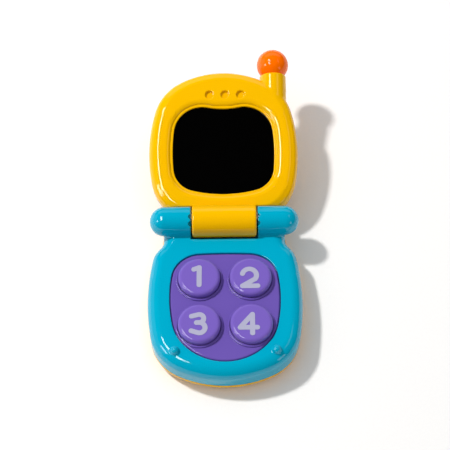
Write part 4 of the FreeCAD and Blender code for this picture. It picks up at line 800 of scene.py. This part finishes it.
def lathe(name, profile, sides, center):
    """A closed mesh turned round an upright axis. Points with no radius become a single vertex."""
    center_x, center_y, foot_z = center
    points = []
    rings = []
    for radius, height in profile:
        count = sides if radius > 0 else 1
        rings.append([len(points) + index for index in range(count)])
        for index in range(count):
            angle = 2 * math.pi * index / sides
            across = center_x + radius * math.cos(angle)
            along = center_y + radius * math.sin(angle)
            points.append((across, along, foot_z + height))
    faces = []
    for lower, upper in zip(rings, rings[1:] + rings[:1]):
        if len(lower) == 1 and len(upper) == 1:
            continue
        for index in range(sides):
            following = (index + 1) % sides
            corners = [
                lower[index % len(lower)],
                lower[following % len(lower)],
                upper[following % len(upper)],
                upper[index % len(upper)],
            ]
            faces.append(list(dict.fromkeys(corners)))
    mesh = bpy.data.meshes.new(name)
    mesh.from_pydata([tuple(value * MM for value in point) for point in points], [], faces)
    mesh.polygons.foreach_set("use_smooth", np.ones(len(faces), bool))
    return mesh


def make_domes():
    """Four silicone domes, one under each button, that stand in for the CAD return domes."""
    for number in range(1, 5):
        side = 1 if number % 2 == 0 else -1
        row = 1 if number < 3 else -1
        center = (side * BUTTON_PITCH / 2, BUTTON_MIDDLE_Y + row * BUTTON_PITCH / 2, DOME_FOOT_Z)
        mesh = lathe(f"silicone_dome_{number}", DOME_PROFILE, DOME_SIDES, center)
        mesh.materials.append(LOOKS["silicone"])
        dome = bpy.data.objects.new(f"silicone_dome_{number}", mesh)
        bpy.context.scene.collection.objects.link(dome)
        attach(dome, "base")
        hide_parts(f"return_dome_{number}")
        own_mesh(dome)


make_shells()
make_domes()

# ---------------------------------------------------------------- stage

FLOOR_HALF = 4.0
FIBRE_SCALE = 700.0
FIBRE_DEPTH = 0.00005


def make_floor():
    """A plain sheet of pale paper."""
    mesh = bpy.data.meshes.new("floor")
    signs = ((-1, -1), (1, -1), (1, 1), (-1, 1))
    corners = [(x * FLOOR_HALF, y * FLOOR_HALF, 0) for x, y in signs]
    mesh.from_pydata(corners, [], [(0, 1, 2, 3)])
    floor = bpy.data.objects.new("floor", mesh)
    bpy.context.scene.collection.objects.link(floor)
    material, nodes, links, shader = new_material("floor_paper")
    coordinates = nodes.new("ShaderNodeTexCoord")
    fibres = noise(nodes, links, coordinates, FIBRE_SCALE, 3.0)
    color = mixed(nodes, links, fibres, (0.86, 0.855, 0.85), (0.9, 0.895, 0.89))
    links.new(color, shader.inputs["Base Color"])
    shader.inputs["Roughness"].default_value = 0.7
    bumped(nodes, links, shader, fibres, FIBRE_DEPTH)
    mesh.materials.append(material)


MIDDLE = Vector((0.0, 0.04, 0.02))
KEY_DISTANCE = 1.7
PANEL_DISTANCE = 1.5
WORLD_STRENGTH = 0.575


def area_light(name, direction, distance, width, height, radiance, color=(1.0, 1.0, 1.0)):
    """A rectangle that faces the object. radiance is its brightness, whatever its size."""
    data = bpy.data.lights.new(name, "AREA")
    data.shape = "RECTANGLE"
    data.size = width
    data.size_y = height
    data.energy = radiance * math.pi * width * height
    data.color = color
    light = bpy.data.objects.new(name, data)
    toward = Vector(direction).normalized()
    light.location = MIDDLE + toward * distance
    light.rotation_euler = toward.to_track_quat("Z", "Y").to_euler()
    bpy.context.scene.collection.objects.link(light)
    return light


def make_lights():
    """A key that lights the object, and panels that only show as reflections."""
    key = area_light("key", (-0.52, 0.26, 0.81), KEY_DISTANCE, 0.13, 0.13, 455.0, (1.0, 0.985, 0.96))
    key.visible_glossy = False
    panels = [
        area_light("window_a", (-0.4, -0.03, 0.92), PANEL_DISTANCE, 0.95, 0.26, 15.0),
        area_light("window_b", (-0.8, -0.2, 0.55), PANEL_DISTANCE, 0.4, 0.25, 10.0),
        area_light("bounce", (0.61, 0.14, 0.78), PANEL_DISTANCE, 0.6, 0.3, 0.7),
        area_light("warm_bounce", (0.8, -0.55, 0.33), PANEL_DISTANCE, 0.4, 0.4, 2.0, (1.0, 0.8, 0.8)),
        area_light("rear_wall", (0.0, 0.87, 0.5), PANEL_DISTANCE, 2.4, 0.7, 0.6),
        area_light("left_wall", (-0.95, 0.15, 0.3), PANEL_DISTANCE, 1.6, 0.8, 0.4),
    ]
    for panel in panels:
        panel.visible_diffuse = False
    world = bpy.data.worlds.new("studio")
    world.use_nodes = True
    background = world.node_tree.nodes["Background"]
    background.inputs["Color"].default_value = (0.985, 0.99, 1.0, 1.0)
    background.inputs["Strength"].default_value = WORLD_STRENGTH
    bpy.context.scene.world = world
    world.cycles_visibility.glossy = False


CAMERA_TARGET = Vector((0.0004, 0.0464, 0.020))
CAMERA_DISTANCE = 0.796
CAMERA_TILT = math.radians(30.2)
CAMERA_ROLL = math.radians(-0.66)
CAMERA_LENS = 112.5


def make_camera():
    """Looks down on the object from its foot, tilted from straight above by CAMERA_TILT."""
    forward = Vector((0.0, math.sin(CAMERA_TILT), -math.cos(CAMERA_TILT)))
    up = Vector((0.0, math.cos(CAMERA_TILT), math.sin(CAMERA_TILT)))
    right = Vector((1.0, 0.0, 0.0))
    rolled_right = math.cos(CAMERA_ROLL) * right + math.sin(CAMERA_ROLL) * up
    rolled_up = math.cos(CAMERA_ROLL) * up - math.sin(CAMERA_ROLL) * right
    axes = Matrix((rolled_right, rolled_up, -forward)).transposed()
    data = bpy.data.cameras.new("camera")
    data.lens = CAMERA_LENS
    data.sensor_width = 36.0
    data.clip_start = 0.01
    camera = bpy.data.objects.new("camera", data)
    camera.matrix_world = Matrix.Translation(CAMERA_TARGET - forward * CAMERA_DISTANCE) @ axes.to_4x4()
    bpy.context.scene.collection.objects.link(camera)
    bpy.context.scene.camera = camera


make_floor()
make_lights()
make_camera()
bpy.context.scene.view_settings.view_transform = "Standard"
